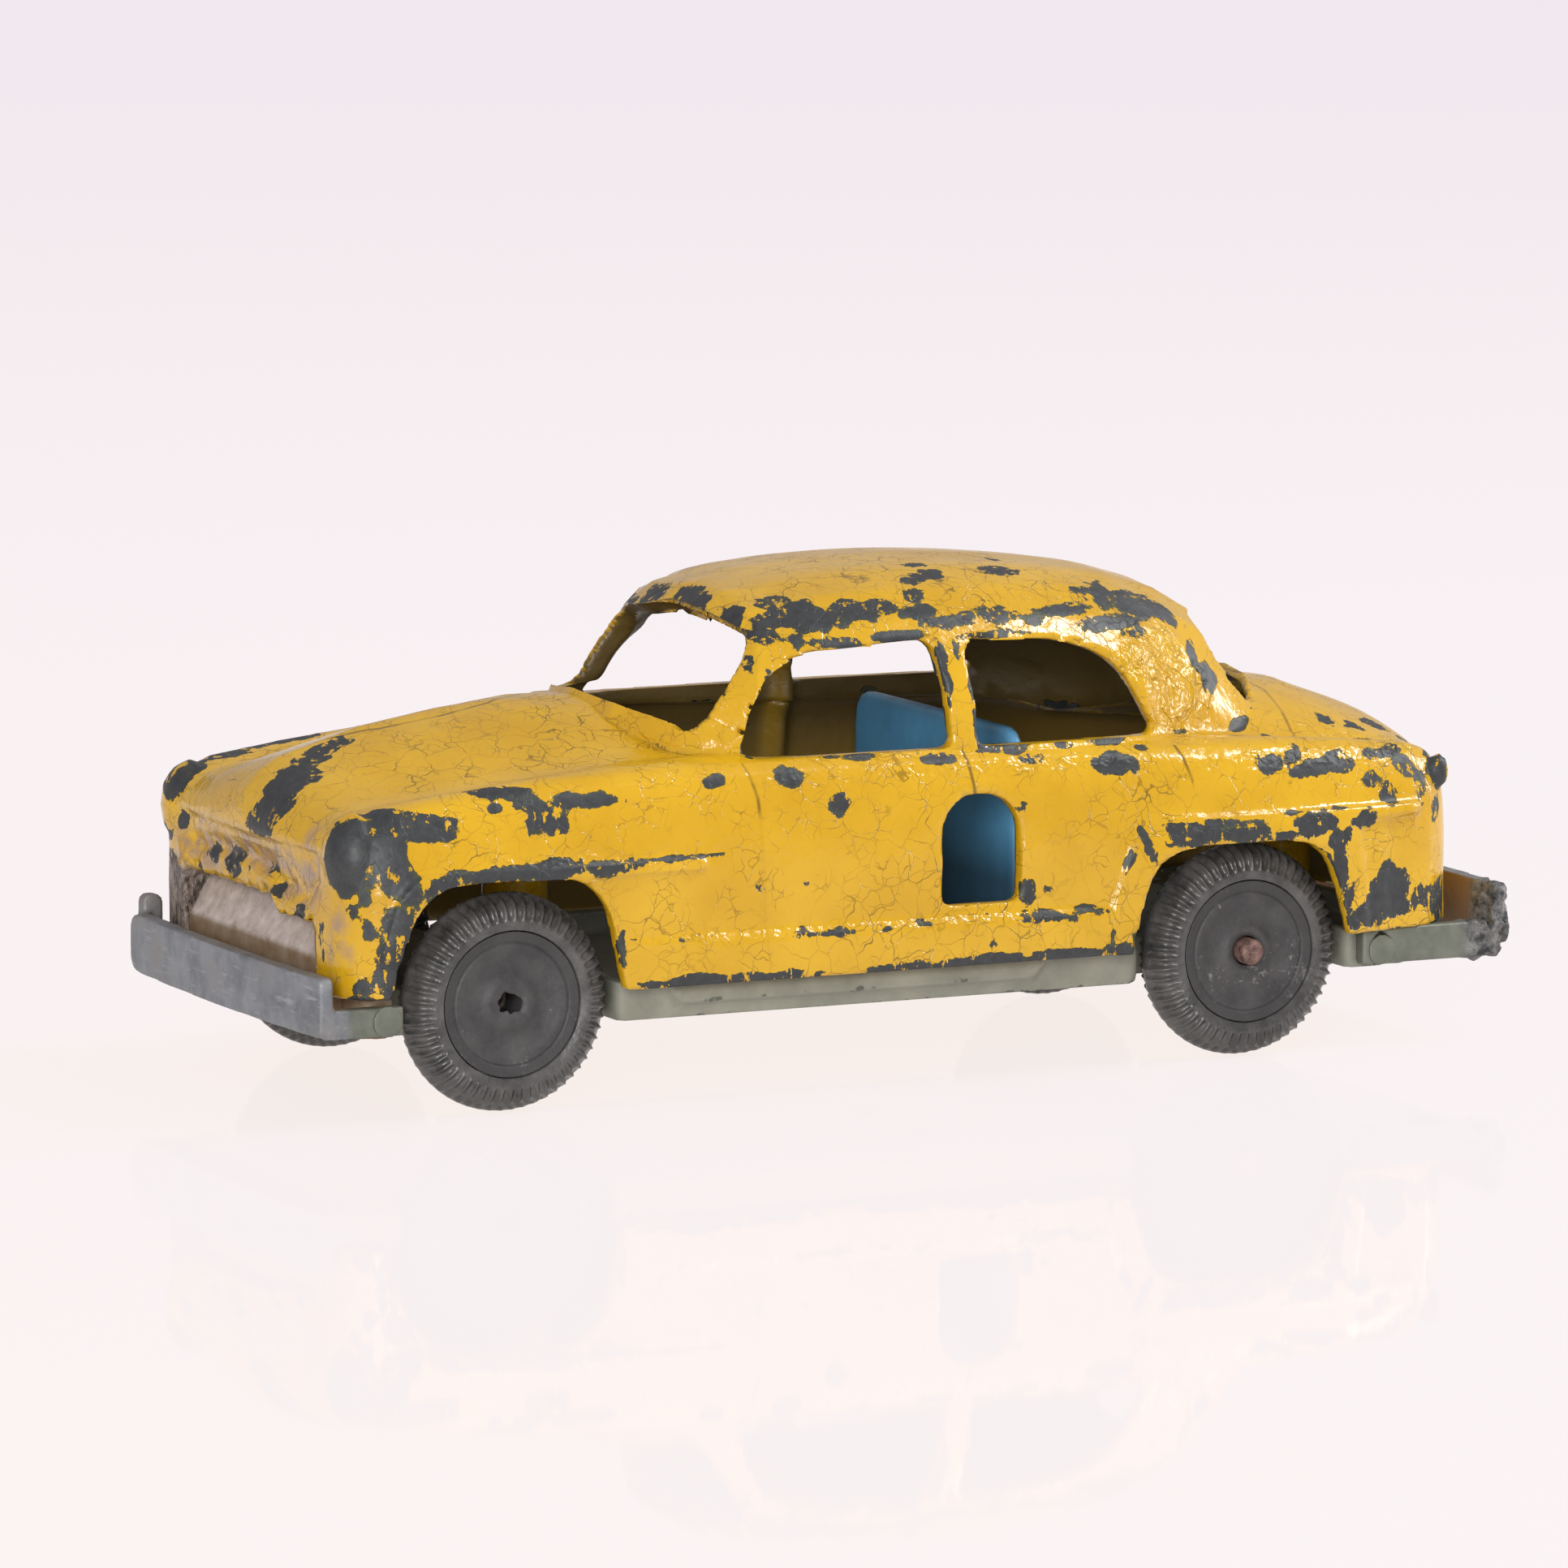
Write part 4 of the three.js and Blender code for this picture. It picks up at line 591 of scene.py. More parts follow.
# Crazed gloss enamel over dark cast metal: a lumpy shine, fine brown cracks, chips with a clear
# step down to flat bluish grey metal, and a thin greenish rim of old undercoat on some of them.
enamel, tree, spot = new_material("crazed_mustard_enamel", IOR=1.5)
field = {name: marked(tree, name) for name in BODY_MARKS}

# Bare metal: the worn spots and the edges, made ragged, less the flecks of paint left on them.
ragged = noise_at(tree, spot, 1.5, 6, 0.54)
ragged_mm = ramp(tree, ragged, 0.25, 0.75, -0.65, 0.65)
spots_mm = maths(tree, "ADD", field["wear"], ragged_mm)
patches = noise_at(tree, spot, 5, 3)
edge_width = ramp(tree, patches, 0.5, 0.75, -0.1, 0.75)
edge_mm = maths(tree, "SUBTRACT", edge_width, field["edge"])
edge_ragged = maths(tree, "MULTIPLY_ADD", ragged_mm, 0.35, edge_mm)
bare_mm = maths(tree, "MAXIMUM", spots_mm, edge_ragged)
streaky = add(tree, "Mapping", {"Vector": spot, "Scale": (1, 1, 0.5)}).outputs[0]
flecks = noise_at(tree, streaky, 0.6, 5, 0.65)
fleck_mm = ramp(tree, flecks, 0.55, 0.66, 0, 3)
clusters = noise_at(tree, spot, 3.2, 2)
cluster_share = ramp(tree, clusters, 0.44, 0.62)
left_on = product(tree, fleck_mm, cluster_share)
chip_mm = maths(tree, "SUBTRACT", bare_mm, left_on)
chip = ramp(tree, chip_mm, -0.03, 0.03)

# Cracks: the borders of two sizes of bent cells, in patches and with gaps, and the cast lines.
COARSE_CELL, FINE_CELL, CRACK_HALF, CELL_BEND = 2.4, 1.2, 0.027, 2.6


def to_border(tree, place, cell):
    """The distance from the border between cells of a size in mm, as a share of that size."""
    return add(tree, "TexVoronoi", {"Vector": place, "Scale": per(cell)},
               feature="DISTANCE_TO_EDGE").outputs["Distance"]


bend = add(tree, "TexNoise", {"Vector": spot, "Scale": per(3), "Detail": 3}).outputs["Color"]
bent = add(tree, "VectorMath", {0: bend, 1: (CELL_BEND * MM,) * 3, 2: spot},
           operation="MULTIPLY_ADD").outputs[0]
coarse = to_border(tree, bent, COARSE_CELL)
fine = to_border(tree, bent, FINE_CELL)
coarse_half, fine_half = CRACK_HALF / COARSE_CELL, CRACK_HALF / FINE_CELL
coarse_line = ramp(tree, coarse, 0.4 * coarse_half, 1.8 * coarse_half, 1, 0)
fine_line = ramp(tree, fine, 0.2 * fine_half, 1.3 * fine_half, 0.7, 0)
crazed = noise_at(tree, spot, 11, 2)
coarse_share = ramp(tree, crazed, 0.4, 0.56)
broken = noise_at(tree, spot, 2.2, 2)
fine_share = ramp(tree, broken, 0.45, 0.6)
dashed = ramp(tree, broken, 0.42, 0.56, 0.4, 1)
coarse_crack = product(tree, coarse_line, dashed, coarse_share)
fine_crack = product(tree, fine_line, fine_share)
any_crack = maths(tree, "MAXIMUM", coarse_crack, fine_crack)
unwrinkled = ramp(tree, field["wrinkle"], 0.4, 0.8, 1, 0.25)
outside = ramp(tree, field["inside"], 0, 1, 1, 0.1)
crack = product(tree, any_crack, outside, unwrinkled)
off_seam = maths(tree, "ABSOLUTE", field["seam"])
seam_line = ramp(tree, off_seam, 0.06, 0.19, 1, 0)
seam_share = ramp(tree, broken, 0.4, 0.55, 0.45, 1)
level = add(tree, "SeparateXYZ", {0: spot}).outputs["Z"]
seam_high = ramp(tree, level, 20.2 * MM, 21.2 * MM, 0.12, 1)
seam_dark = product(tree, seam_line, seam_high, seam_share)
dark_line = maths(tree, "MAXIMUM", crack, seam_dark)

# Colours: cracked paint, grime, the inside in thin paint darkened with painted shade, bare metal
# with its rim, and the crust.
tone = noise_at(tree, spot, 8, 4)
tone_share = ramp(tree, tone, 0.35, 0.7)
mustard = mixed(tree, tone_share, "#d6a81f", "#c79812")
crack_share = product(tree, dark_line, 0.72)
cracked = mixed(tree, crack_share, mustard, "#4f3a12")
grime_patch = ramp(tree, ragged, 0.4, 0.58, 0, 0.85)
grime_spread = product(tree, field["grime"], grime_patch)
grimy = mixed(tree, grime_spread, cracked, "#9a8070")
# The inside shows thin brownish-yellow paint, darkened with painted shade that grows darker higher
# up.
inner_shade_share = product(tree, field["inside"], 0.92)
inner_shade_by_height = ramp(tree, level, 19.5 * MM, 22.5 * MM)
inner_shade_tone = mixed(tree, inner_shade_by_height, "#7d6530", "#443820")
paint = mixed(tree, inner_shade_share, grimy, inner_shade_tone)
dull = noise_at(tree, spot, 0.6, 4)
metal = mixed(tree, dull, "#2d2f31", "#4a4c4d")
rim = ramp(tree, chip_mm, 0.04, 0.3, 0.75, 0)
rim_share = product(tree, rim, tone_share)
rimmed = mixed(tree, rim_share, metal, "#4c5433")
worn_colour = mixed(tree, chip, paint, rimmed)
crust_patch = ramp(tree, flecks, 0.4, 0.6)
crust_tone = mixed(tree, crust_patch, "#a3948a", "#46392f")
colour = mixed(tree, field["crust"], worn_colour, crust_tone)
shine = ramp(tree, tone, 0.3, 0.7, 0.1, 0.24)
inner_rough = maths(tree, "MULTIPLY_ADD", field["inside"], 0.3, shine)
rough = add(tree, "Mix", {0: chip, 2: inner_rough, 3: 0.48}).outputs[0]

# Relief in mm: a lumpy coat with wrinkles and pits, and cracks and chips cut into it.
swell = noise_at(tree, spot, 2.6, 2)
peel = noise_at(tree, spot, 0.7, 2)
creased = add(tree, "TexNoise", {
    "Vector": bent, "Scale": per(2.2), "Detail": 1.5, "Distortion": 1.6}).outputs["Fac"]
facets = add(tree, "TexVoronoi", {"Vector": bent, "Scale": per(1.1)}).outputs["Distance"]
crumpled = maths(tree, "MULTIPLY_ADD", facets, 0.14, creased)
web = ramp(tree, fine, 0.02 / FINE_CELL, 0.18 / FINE_CELL, 0.09, 0)
webbed = maths(tree, "ADD", crumpled, web)
WEB_MEAN = 0.58
uneven = maths(tree, "SUBTRACT", webbed, WEB_MEAN)
fold = product(tree, uneven, field["wrinkle"])
pitted = product(tree, flecks, field["crust"])
height = product(tree, swell, 0.09)
for form, tall in ((peel, 0.05), (fold, 0.85), (pitted, 0.6), (dark_line, -0.022), (chip, -0.1)):
    height = maths(tree, "MULTIPLY_ADD", form, tall, height)
metal_share = product(tree, chip, 0.35)
surface(tree, height, Base_Color=colour, Roughness=rough, Metallic=metal_share)

body.data.materials.append(enamel)
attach(body, "chassis")
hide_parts("body_shell")

# Base plate
# A shallow cast pan under the body, with the axle housings and the step behind the mouth cast in.
# It has one thin coat of olive paint and is held by two rivets into the body's posts.

base = merged_copy("base_plate", "base")
base_edges = edges_over(base, SHARP)
cast_skin(base, grain=0.4, passes=2, edges=base_edges, reach=0.25)
mark(base, "edge", distance_to(base_edges, base.data))

# The pan's sides are folded to a ridge between the wheels.
RIDGE_HEIGHT, RIDGE_HALF_WIDTH, RIDGE_SWELL = 7.1, 1.5, 0.45
pan = points_of(base.data)
x, y, z = pan.T
on_side = (np.abs(y) > 16.5) & (z < 9)
ridge = region((-17, -15, x), (25.5, 24, x))
ridge = ridge * np.clip(1 - np.abs(z - RIDGE_HEIGHT) / RIDGE_HALF_WIDTH, 0, 1)
pan[:, 1] += np.where(on_side, RIDGE_SWELL * ridge * np.sign(y), 0)

# The step in the mouth is a sloping panel over a ridge. It reaches both sides of the mouth, with a
# gap at its top right.
STEP_FRONT, STEP_DEPTH, STEP_RISE, STEP_FORWARD, STEP_SPREAD = 45.3, 2.1, 4, 0.75, 0.3
GAP_MIDDLE, GAP_WIDTH, GAP_DROP = -8.6, 1.5, 1.6
step = smooth_step(43.2, 43.6, x) * (np.abs(y) < 12.3) * (z > 8.9)
back_share = np.clip((STEP_FRONT - x) / STEP_DEPTH, 0, 1)
upper = smooth_step(10.9, 11.3, z)
gap = np.exp(-((y - GAP_MIDDLE) / GAP_WIDTH) ** 2) * smooth_step(12.5, 14, z) * (x > 41.5)
pan[:, 2] += step * upper * STEP_RISE * back_share
pan[:, 0] += step * STEP_FORWARD * (1 - back_share)
pan[:, 1] += step * np.sign(y) * STEP_SPREAD * smooth_step(10, 12, np.abs(y))
pan[:, 2] -= GAP_DROP * gap
set_points(base, pan)

# Thin satin olive paint: grey-green with a chalky bloom, rubbed dark on its edges, brown with dirt
# at the nose.
olive, tree, spot = new_material("olive_base_paint", IOR=1.5)
mottle = noise_at(tree, spot, 4, 5, 0.6)
mottle_share = ramp(tree, mottle, 0.35, 0.68)
olive_paint = mixed(tree, mottle_share, "#7c7d70", "#959485")
place = add(tree, "SeparateXYZ", {0: spot}).outputs
nose_share = ramp(tree, place["X"], 40 * MM, 42.5 * MM, 0, 0.95)
rust_tone = noise_at(tree, spot, 1.6, 5, 0.65)
rust_share = ramp(tree, rust_tone, 0.35, 0.65)
mauve = mixed(tree, rust_share, "#d6cac2", "#ac9c90")
brown = mixed(tree, rust_share, "#94806a", "#7a5f3c")
below_ridge = ramp(tree, place["Z"], 11.6 * MM, 11.2 * MM)
rusty = mixed(tree, below_ridge, mauve, brown)
dirty = mixed(tree, nose_share, olive_paint, rusty)
edge = marked(tree, "edge")
rub_width = ramp(tree, rust_tone, 0.5, 0.7, -0.1, 0.28)
rub_mm = maths(tree, "SUBTRACT", rub_width, edge)
rub = ramp(tree, rub_mm, -0.06, 0.06, 0, 0.8)
clear_nose = ramp(tree, nose_share, 0, 1, 1, 0.15)
rub = product(tree, rub, clear_nose)
base_colour = mixed(tree, rub, dirty, "#45473f")
base_rough = ramp(tree, mottle, 0.3, 0.7, 0.42, 0.62)
grain = noise_at(tree, spot, 0.8, 4)
grain_mm = product(tree, grain, 0.05)
surface(tree, grain_mm, Base_Color=base_colour, Roughness=base_rough)

base.data.materials.append(olive)
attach(base, "chassis")
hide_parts("base_plate")

# Bumpers
# Two strips of bare soft metal, bent at both ends into returns that are riveted to the pan's sides.
# They are dull and oxidised, and the rear one's left end is corroded into a lump.

# Oxidised strip metal: blue-grey and nearly matt, with darker stains, pale scratches, brown in the
# hollows and a thin wash of the base plate's olive on the returns.
strip, tree, spot = new_material("oxidised_strip_metal", Metallic=0.35)
stain = noise_at(tree, spot, 3.5, 6, 0.65)
stain_share = ramp(tree, stain, 0.35, 0.66)
grey = mixed(tree, stain_share, "#696d72", "#989b9f")
drawn = add(tree, "Mapping", {"Vector": spot, "Scale": (1, 0.12, 1)}).outputs[0]
scratch = noise_at(tree, drawn, 0.35, 3)
scratch_share = ramp(tree, scratch, 0.6, 0.72, 0, 0.5)
scratched = mixed(tree, scratch_share, grey, "#aeb0b0")
bloom = noise_at(tree, spot, 7, 5, 0.6)
bloom_share = ramp(tree, bloom, 0.52, 0.72, 0, 0.55)
bloomed = mixed(tree, bloom_share, scratched, "#75685a")
inner = marked(tree, "inner")
stained = mixed(tree, inner, bloomed, "#7a5a30")
painted = marked(tree, "painted")
olive_wash = mixed(tree, stain_share, "#5d6156", "#7d8074")
washed = mixed(tree, painted, stained, olive_wash)
corroded = marked(tree, "corroded")
crust = noise_at(tree, spot, 0.8, 5, 0.7)
crust_share = ramp(tree, crust, 0.38, 0.62)
crust_tone = mixed(tree, crust_share, "#303336", "#85837f")
strip_colour = mixed(tree, corroded, washed, crust_tone)
strip_rough = ramp(tree, stain, 0.3, 0.7, 0.4, 0.6)
pitting = noise_at(tree, spot, 0.9, 5, 0.6)
pit_depth = ramp(tree, corroded, 0, 1, 0.06, 0.3)
pit_mm = product(tree, pitting, pit_depth)
surface(tree, pit_mm, Base_Color=strip_colour, Roughness=strip_rough)

BIG_LUMPS, SMALL_LUMPS, LUMP_SWELL, END_LIFT, INNER_BROWN = 0.35, 0.3, 0.1, 0.6, 0.85
for end in ("front", "rear"):
    bumper = merged_copy(f"{end}_bumper", f"bumper_{end}")
    cast_skin(bumper, grain=0.22, passes=4, edges=edges_over(bumper, SHARP), reach=0.15)
    bar = points_of(bumper.data)
    x, y, z = bar.T
    on_return = smooth_step(46.6, 45.8, np.abs(x))
    lump = region((-44.2, -46, x), (13.4, 15.4, y))
    facing = normals_of(bumper.data)
    swell = BIG_LUMPS * lumpy(bar, 1.2, 5) + SMALL_LUMPS * lumpy(bar, 0.6, 9) + LUMP_SWELL
    bar += (lump * swell)[:, None] * facing
    if end == "rear":
        bar[:, 2] += END_LIFT * region((7.4, 8.4, z), (-47.6, -46.6, x)) * (z < 9)
    set_points(bumper, bar)
    inner_face = region((0.2, 0.7, -np.sign(x) * facing[:, 0]), (45.6, 46.4, np.abs(x)))
    mark(bumper, "painted", on_return * (1 - lump))
    mark(bumper, "corroded", lump)
    mark(bumper, "inner", INNER_BROWN * inner_face * (1 - lump))
    bumper.data.materials.append(strip)
    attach(bumper, "chassis")
    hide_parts(f"{end}_bumper")

# Seat back
# A blue sheet bent to an L, its foot riveted to the base plate, standing across the car behind the
# front doors. Its upper corners are rounded and its top edge is rubbed bare.

seat = merged_copy("seat_back", "seat")
cast_skin(seat, grain=0.28, passes=3, edges=edges_over(seat, SHARP), reach=0.12)

# Blue satin enamel on sheet: an even mid blue, greyer where it is rubbed, with painted shade
# darkening it towards its foot.
blue, tree, spot = new_material("blue_sheet_enamel", IOR=1.5)
cloud = noise_at(tree, spot, 6, 5)
cloud_share = ramp(tree, cloud, 0.35, 0.7)
seat_paint = mixed(tree, cloud_share, "#62a6d0", "#5090b8")
level = add(tree, "SeparateXYZ", {0: spot}).outputs["Z"]
top_rub = ramp(tree, level, 24 * MM, 25.2 * MM, 0, 0.6)
top_share = product(tree, top_rub, cloud_share)
seat_colour = mixed(tree, top_share, seat_paint, "#5d6368")
# Painted shade: the seat's lower part, which the light from above does not reach, is darkened.
low_shade = ramp(tree, level, 13.5 * MM, 17.5 * MM, 0.75, 0)
seat_shaded = mixed(tree, low_shade, seat_colour, "#24323a")
seat_rough = ramp(tree, cloud, 0.3, 0.7, 0.35, 0.52)
dimple = product(tree, cloud, 0.2)
surface(tree, dimple, Base_Color=seat_shaded, Roughness=seat_rough)

seat.data.materials.append(blue)
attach(seat, "chassis")
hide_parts("seat_back")

# Axles
# Two plain steel pins that turn in the pan's housings. The wheels are pressed on, and the ends are
# rusty. The front one's left end has sunk into its hub, so that hub shows an empty hole.


def turned(name, profile, middle, steps):
    """A profile of (radius, offset) points in mm, spun about a line across the car."""
    bpy.ops.object.select_all(action="DESELECT")
    points = [middle + Vector((0, offset, radius)) * MM for radius, offset in profile]
    bpy.ops.mesh.primitive_plane_add(size=MM, location=points[0])
    piece = bpy.context.active_object
    piece.name = name
    bpy.ops.object.transform_apply(location=True, rotation=True, scale=True)
    bpy.ops.object.mode_set(mode="EDIT")
    bpy.ops.mesh.select_mode(type="VERT")
    bpy.ops.mesh.select_all(action="SELECT")
    bpy.ops.mesh.merge(type="CENTER")
    for start, end in zip(points, points[1:]):
        bpy.ops.mesh.extrude_region_move(TRANSFORM_OT_translate={"value": end - start})
    bpy.ops.mesh.select_all(action="SELECT")
    bpy.ops.mesh.spin(steps=steps, angle=2 * math.pi, center=middle, axis=(0, 1, 0))
    bpy.ops.mesh.select_all(action="SELECT")
    bpy.ops.mesh.remove_doubles(threshold=0.002 * MM)
    bpy.ops.mesh.normals_make_consistent(inside=False)
    bpy.ops.object.mode_set(mode="OBJECT")
    bpy.ops.object.shade_smooth_by_angle(angle=math.radians(40))
    return piece


# Rusted axle steel: dull pinkish brown with darker pits.
rusted, tree, spot = new_material("rusted_axle_steel", Metallic=0.5)
rust = noise_at(tree, spot, 0.7, 6, 0.7)
rust_share = ramp(tree, rust, 0.38, 0.64)
axle_colour = mixed(tree, rust_share, "#94766d", "#4e3a34")
axle_rough = ramp(tree, rust, 0.3, 0.7, 0.45, 0.75)
axle_pit = product(tree, rust, 0.12)
surface(tree, axle_pit, Base_Color=axle_colour, Roughness=axle_rough)

SUNK = {"front": 2.2, "rear": 0.45}
for end in ("front", "rear"):
    low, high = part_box(f"{end}_axle")
    middle = (low + high) / 2
    half = (high.y - low.y) / 2 / MM
    radius = (high.z - low.z) / 2 / MM
    dome = [
        (0, half), (0.45 * radius, half - 0.05), (0.8 * radius, half - 0.16), (radius, half - 0.45)]
    left_end = [(r, offset - SUNK[end]) for r, offset in dome]
    right_end = [(r, -offset) for r, offset in reversed(dome)]
    axle = turned(f"axle_{end}", left_end + right_end, middle, steps=40)
    axle.data.materials.append(rusted)
    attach(axle, f"{end}_wheelset")
    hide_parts(f"{end}_axle")

# Hubs
# Cast wheel centres pressed on the axles: a rim, a turned groove, a dished disc and a low boss
# round the bore. They are dark and dusty, with pale specks of corrosion.

# Dark cast metal with dust: matt grey-black, greyer on the disc, with whitish corroded specks.
dusty, tree, spot = new_material("dusty_dark_cast_metal", Metallic=0.2)
dust = noise_at(tree, spot, 2.5, 6, 0.65)
dust_share = ramp(tree, dust, 0.35, 0.68)
hub_dark = mixed(tree, dust_share, "#3a393a", "#525050")
speck = noise_at(tree, spot, 0.5, 5, 0.75)
speck_patch = noise_at(tree, spot, 4, 2)
speck_sum = maths(tree, "ADD", speck, speck_patch)
speck_share = ramp(tree, speck_sum, 1.18, 1.27, 0, 0.5)
hub_colour = mixed(tree, speck_share, hub_dark, "#a9a5a2")
radius = marked(tree, "radius")
rim_share = ramp(tree, radius, 4.5, 4.62, 0, 0.5)
rimmed = mixed(tree, rim_share, hub_colour, "#383736")
hub_rough = ramp(tree, dust, 0.3, 0.7, 0.42, 0.62)
hub_grain = product(tree, speck, 0.05)
hub_swell = maths(tree, "MULTIPLY_ADD", dust, 0.12, hub_grain)
surface(tree, hub_swell, Base_Color=rimmed, Roughness=hub_rough)

low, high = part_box("hub_front_left")
hub_middle = (low + high) / 2
rim = (high.z - low.z) / 2 / MM
face = (high.y - low.y) / 2 / MM
bore = 1.12
HUB_PROFILE = [
    (bore, -face), (rim - 0.2, -face), (rim, -face + 0.2), (rim, face - 0.02), (rim - 0.03, face),
    (rim - 0.6, face - 0.08), (rim - 0.7, face - 0.11), (rim - 0.76, face - 0.19),
    (rim - 0.82, face - 0.19), (rim - 0.9, face - 0.11), (rim - 1.0, face - 0.09),
    (rim - 1.5, face - 0.24), (3.1, face - 0.46), (2.5, face - 0.48), (2.1, face - 0.4),
    (1.85, face - 0.24), (1.65, face - 0.18), (1.3, face - 0.2), (bore, face - 0.36), (bore, -face),
]
first_hub = turned("hub_front_left", HUB_PROFILE, hub_middle, steps=96)
first_hub.data.materials.append(dusty)
off = points_of(first_hub.data) - np.array(hub_middle) / MM
radii = np.hypot(off[:, 0], off[:, 2])
mark(first_hub, "radius", radii)

WHEELS = [(end, side) for end in ("front", "rear") for side in ("left", "right")]


def wheel_copies(first, name):
    """Copies a left front piece to the other three wheels, turned round for the right side."""
    start = sum(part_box(f"{name}_front_left"), Vector()) / 2
    for end, side in WHEELS:
        node = f"{name}_{end}_{side}"
        piece = first
        if node != f"{name}_front_left":
            piece = bpy.data.objects.new(node, first.data.copy())
            bpy.context.scene.collection.objects.link(piece)
            goal = sum(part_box(node), Vector()) / 2
            turn = Matrix.Rotation(math.pi if side == "right" else 0, 4, "Z")
            piece.data.transform(Matrix.Translation(goal) @ turn @ Matrix.Translation(-start))
        piece.name = f"wheel_{node}"
        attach(piece, f"{end}_wheelset")
        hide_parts(node)


wheel_copies(first_hub, "hub")

# The front left hub's empty bore shows as a smaller, ragged hole.
HOLE_SHRINK, HOLE_RAGGED = 0.28, 0.3
mouth = region((1.7, 1.2, radii), (face - 1.2, face - 0.5, off[:, 1]))
shrink = 1 - mouth * (HOLE_SHRINK + HOLE_RAGGED * lumpy(off, 0.7, 4))
off[:, 0] *= shrink
off[:, 2] *= shrink
set_points(first_hub, off + np.array(hub_middle) / MM)

# Tyres
# Moulded in hard dark rubber and stretched over the hubs. The tread is smooth in the middle, with
# ribs across each shoulder.

# Old tyre rubber: grey-black in soft patches, with a dull shine and a fine grain.
rubber, tree, spot = new_material("old_tyre_rubber", IOR=1.5)
bloom = noise_at(tree, spot, 2, 5, 0.65)
bloom_share = ramp(tree, bloom, 0.35, 0.7)
tyre_colour = mixed(tree, bloom_share, "#3a3938", "#605e5c")
tyre_rough = ramp(tree, bloom, 0.3, 0.7, 0.18, 0.38)
tyre_grain = noise_at(tree, spot, 0.35, 3)
tyre_mm = product(tree, tyre_grain, 0.03)
surface(tree, tyre_mm, Base_Color=tyre_colour, Roughness=tyre_rough)

low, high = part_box("tyre_front_left")
tyre_middle = (low + high) / 2
outer = (high.z - low.z) / 2 / MM
wall = (high.y - low.y) / 2 / MM
seat_radius = 5.33
HALF_TYRE = [
    (seat_radius, 0), (seat_radius, 1.78), (seat_radius + 0.02, 1.86), (5.7, 1.98), (6.05, 2.14),
    (6.4, wall), (6.8, 2.2), (7.2, 2.02), (7.55, 1.7), (7.8, 1.3), (outer - 0.03, 0.8),
    (outer + 0.03, 0.3),
]
TYRE_PROFILE = HALF_TYRE + [(r, -offset) for r, offset in reversed(HALF_TYRE)]
RIBS, STEPS_PER_RIB, GROOVE = 58, 4, 0.5
RIBS_FROM_RADIUS, SMOOTH_HALF_WIDTH = 6.3, 0.9
first_tyre = turned("tyre_front_left", TYRE_PROFILE, tyre_middle, steps=RIBS * STEPS_PER_RIB)
bpy.ops.object.mode_set(mode="EDIT")
bpy.ops.mesh.select_mode(type="FACE")
bpy.ops.mesh.select_all(action="DESELECT")
bpy.ops.object.mode_set(mode="OBJECT")
for polygon in first_tyre.data.polygons:
    off = (polygon.center - tyre_middle) / MM
    step = int((math.atan2(off.x, off.z) / (2 * math.pi) % 1) * RIBS * STEPS_PER_RIB)
    on_shoulder = math.hypot(off.x, off.z) > RIBS_FROM_RADIUS and abs(off.y) > SMOOTH_HALF_WIDTH
    polygon.select = on_shoulder and step % STEPS_PER_RIB < STEPS_PER_RIB / 2
bpy.ops.object.mode_set(mode="EDIT")
bpy.ops.transform.shrink_fatten(value=-GROOVE * MM)
bpy.ops.object.mode_set(mode="OBJECT")
soften = first_tyre.modifiers.new("soften", "SUBSURF")
soften.levels = soften.render_levels = 1
bpy.ops.object.modifier_apply(modifier="soften")
bpy.ops.object.shade_smooth()
first_tyre.data.materials.append(rubber)
wheel_copies(first_tyre, "tyre")

# Rivets
# Soft metal rivets with domed heads: two through the base plate into the body's posts, two through
# the seat's foot, and one in each bumper return, hammered flat and washed with olive.

# Dull rivet metal: plain grey in light and dark patches, with a fine unevenness.
rivet_metal, tree, spot = new_material("dull_rivet_metal", Metallic=0.6)
tarnish = noise_at(tree, spot, 1.2, 5, 0.6)
tarnish_share = ramp(tree, tarnish, 0.35, 0.68)
rivet_colour = mixed(tree, tarnish_share, "#6f6e69", "#8d8a82")
rivet_rough = ramp(tree, tarnish, 0.3, 0.7, 0.4, 0.6)
rivet_mm = product(tree, tarnish, 0.06)
surface(tree, rivet_mm, Base_Color=rivet_colour, Roughness=rivet_rough)

RETURN_FACE, FLATTENING = 17.8, 0.8
for node in sorted(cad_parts):
    if "rivet" in node:
        rivet = merged_copy(node, f"head_{node}")
        cast_skin(rivet, grain=0.12, passes=3, edges=edges_over(rivet, 60), reach=0.03)
        if "bumper" in node:
            head = points_of(rivet.data)
            past = np.maximum(np.abs(head[:, 1]) - RETURN_FACE, 0)
            head[:, 1] -= np.sign(head[:, 1]) * FLATTENING * past
            set_points(rivet, head)
            mark(rivet, "painted", np.ones(len(head)))
        rivet.data.materials.append(strip if "bumper" in node else rivet_metal)
        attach(rivet, "chassis")
        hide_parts(node)

# Table
# A pale glossy sheet, lit so that it is nearly white and a little rosier far away. It shows a
# faint mirror image and a weak shadow.

bpy.ops.object.select_all(action="DESELECT")
bpy.ops.mesh.primitive_plane_add(size=8.0, location=(0, 0, 0))
table = bpy.context.active_object
table.name = "table"

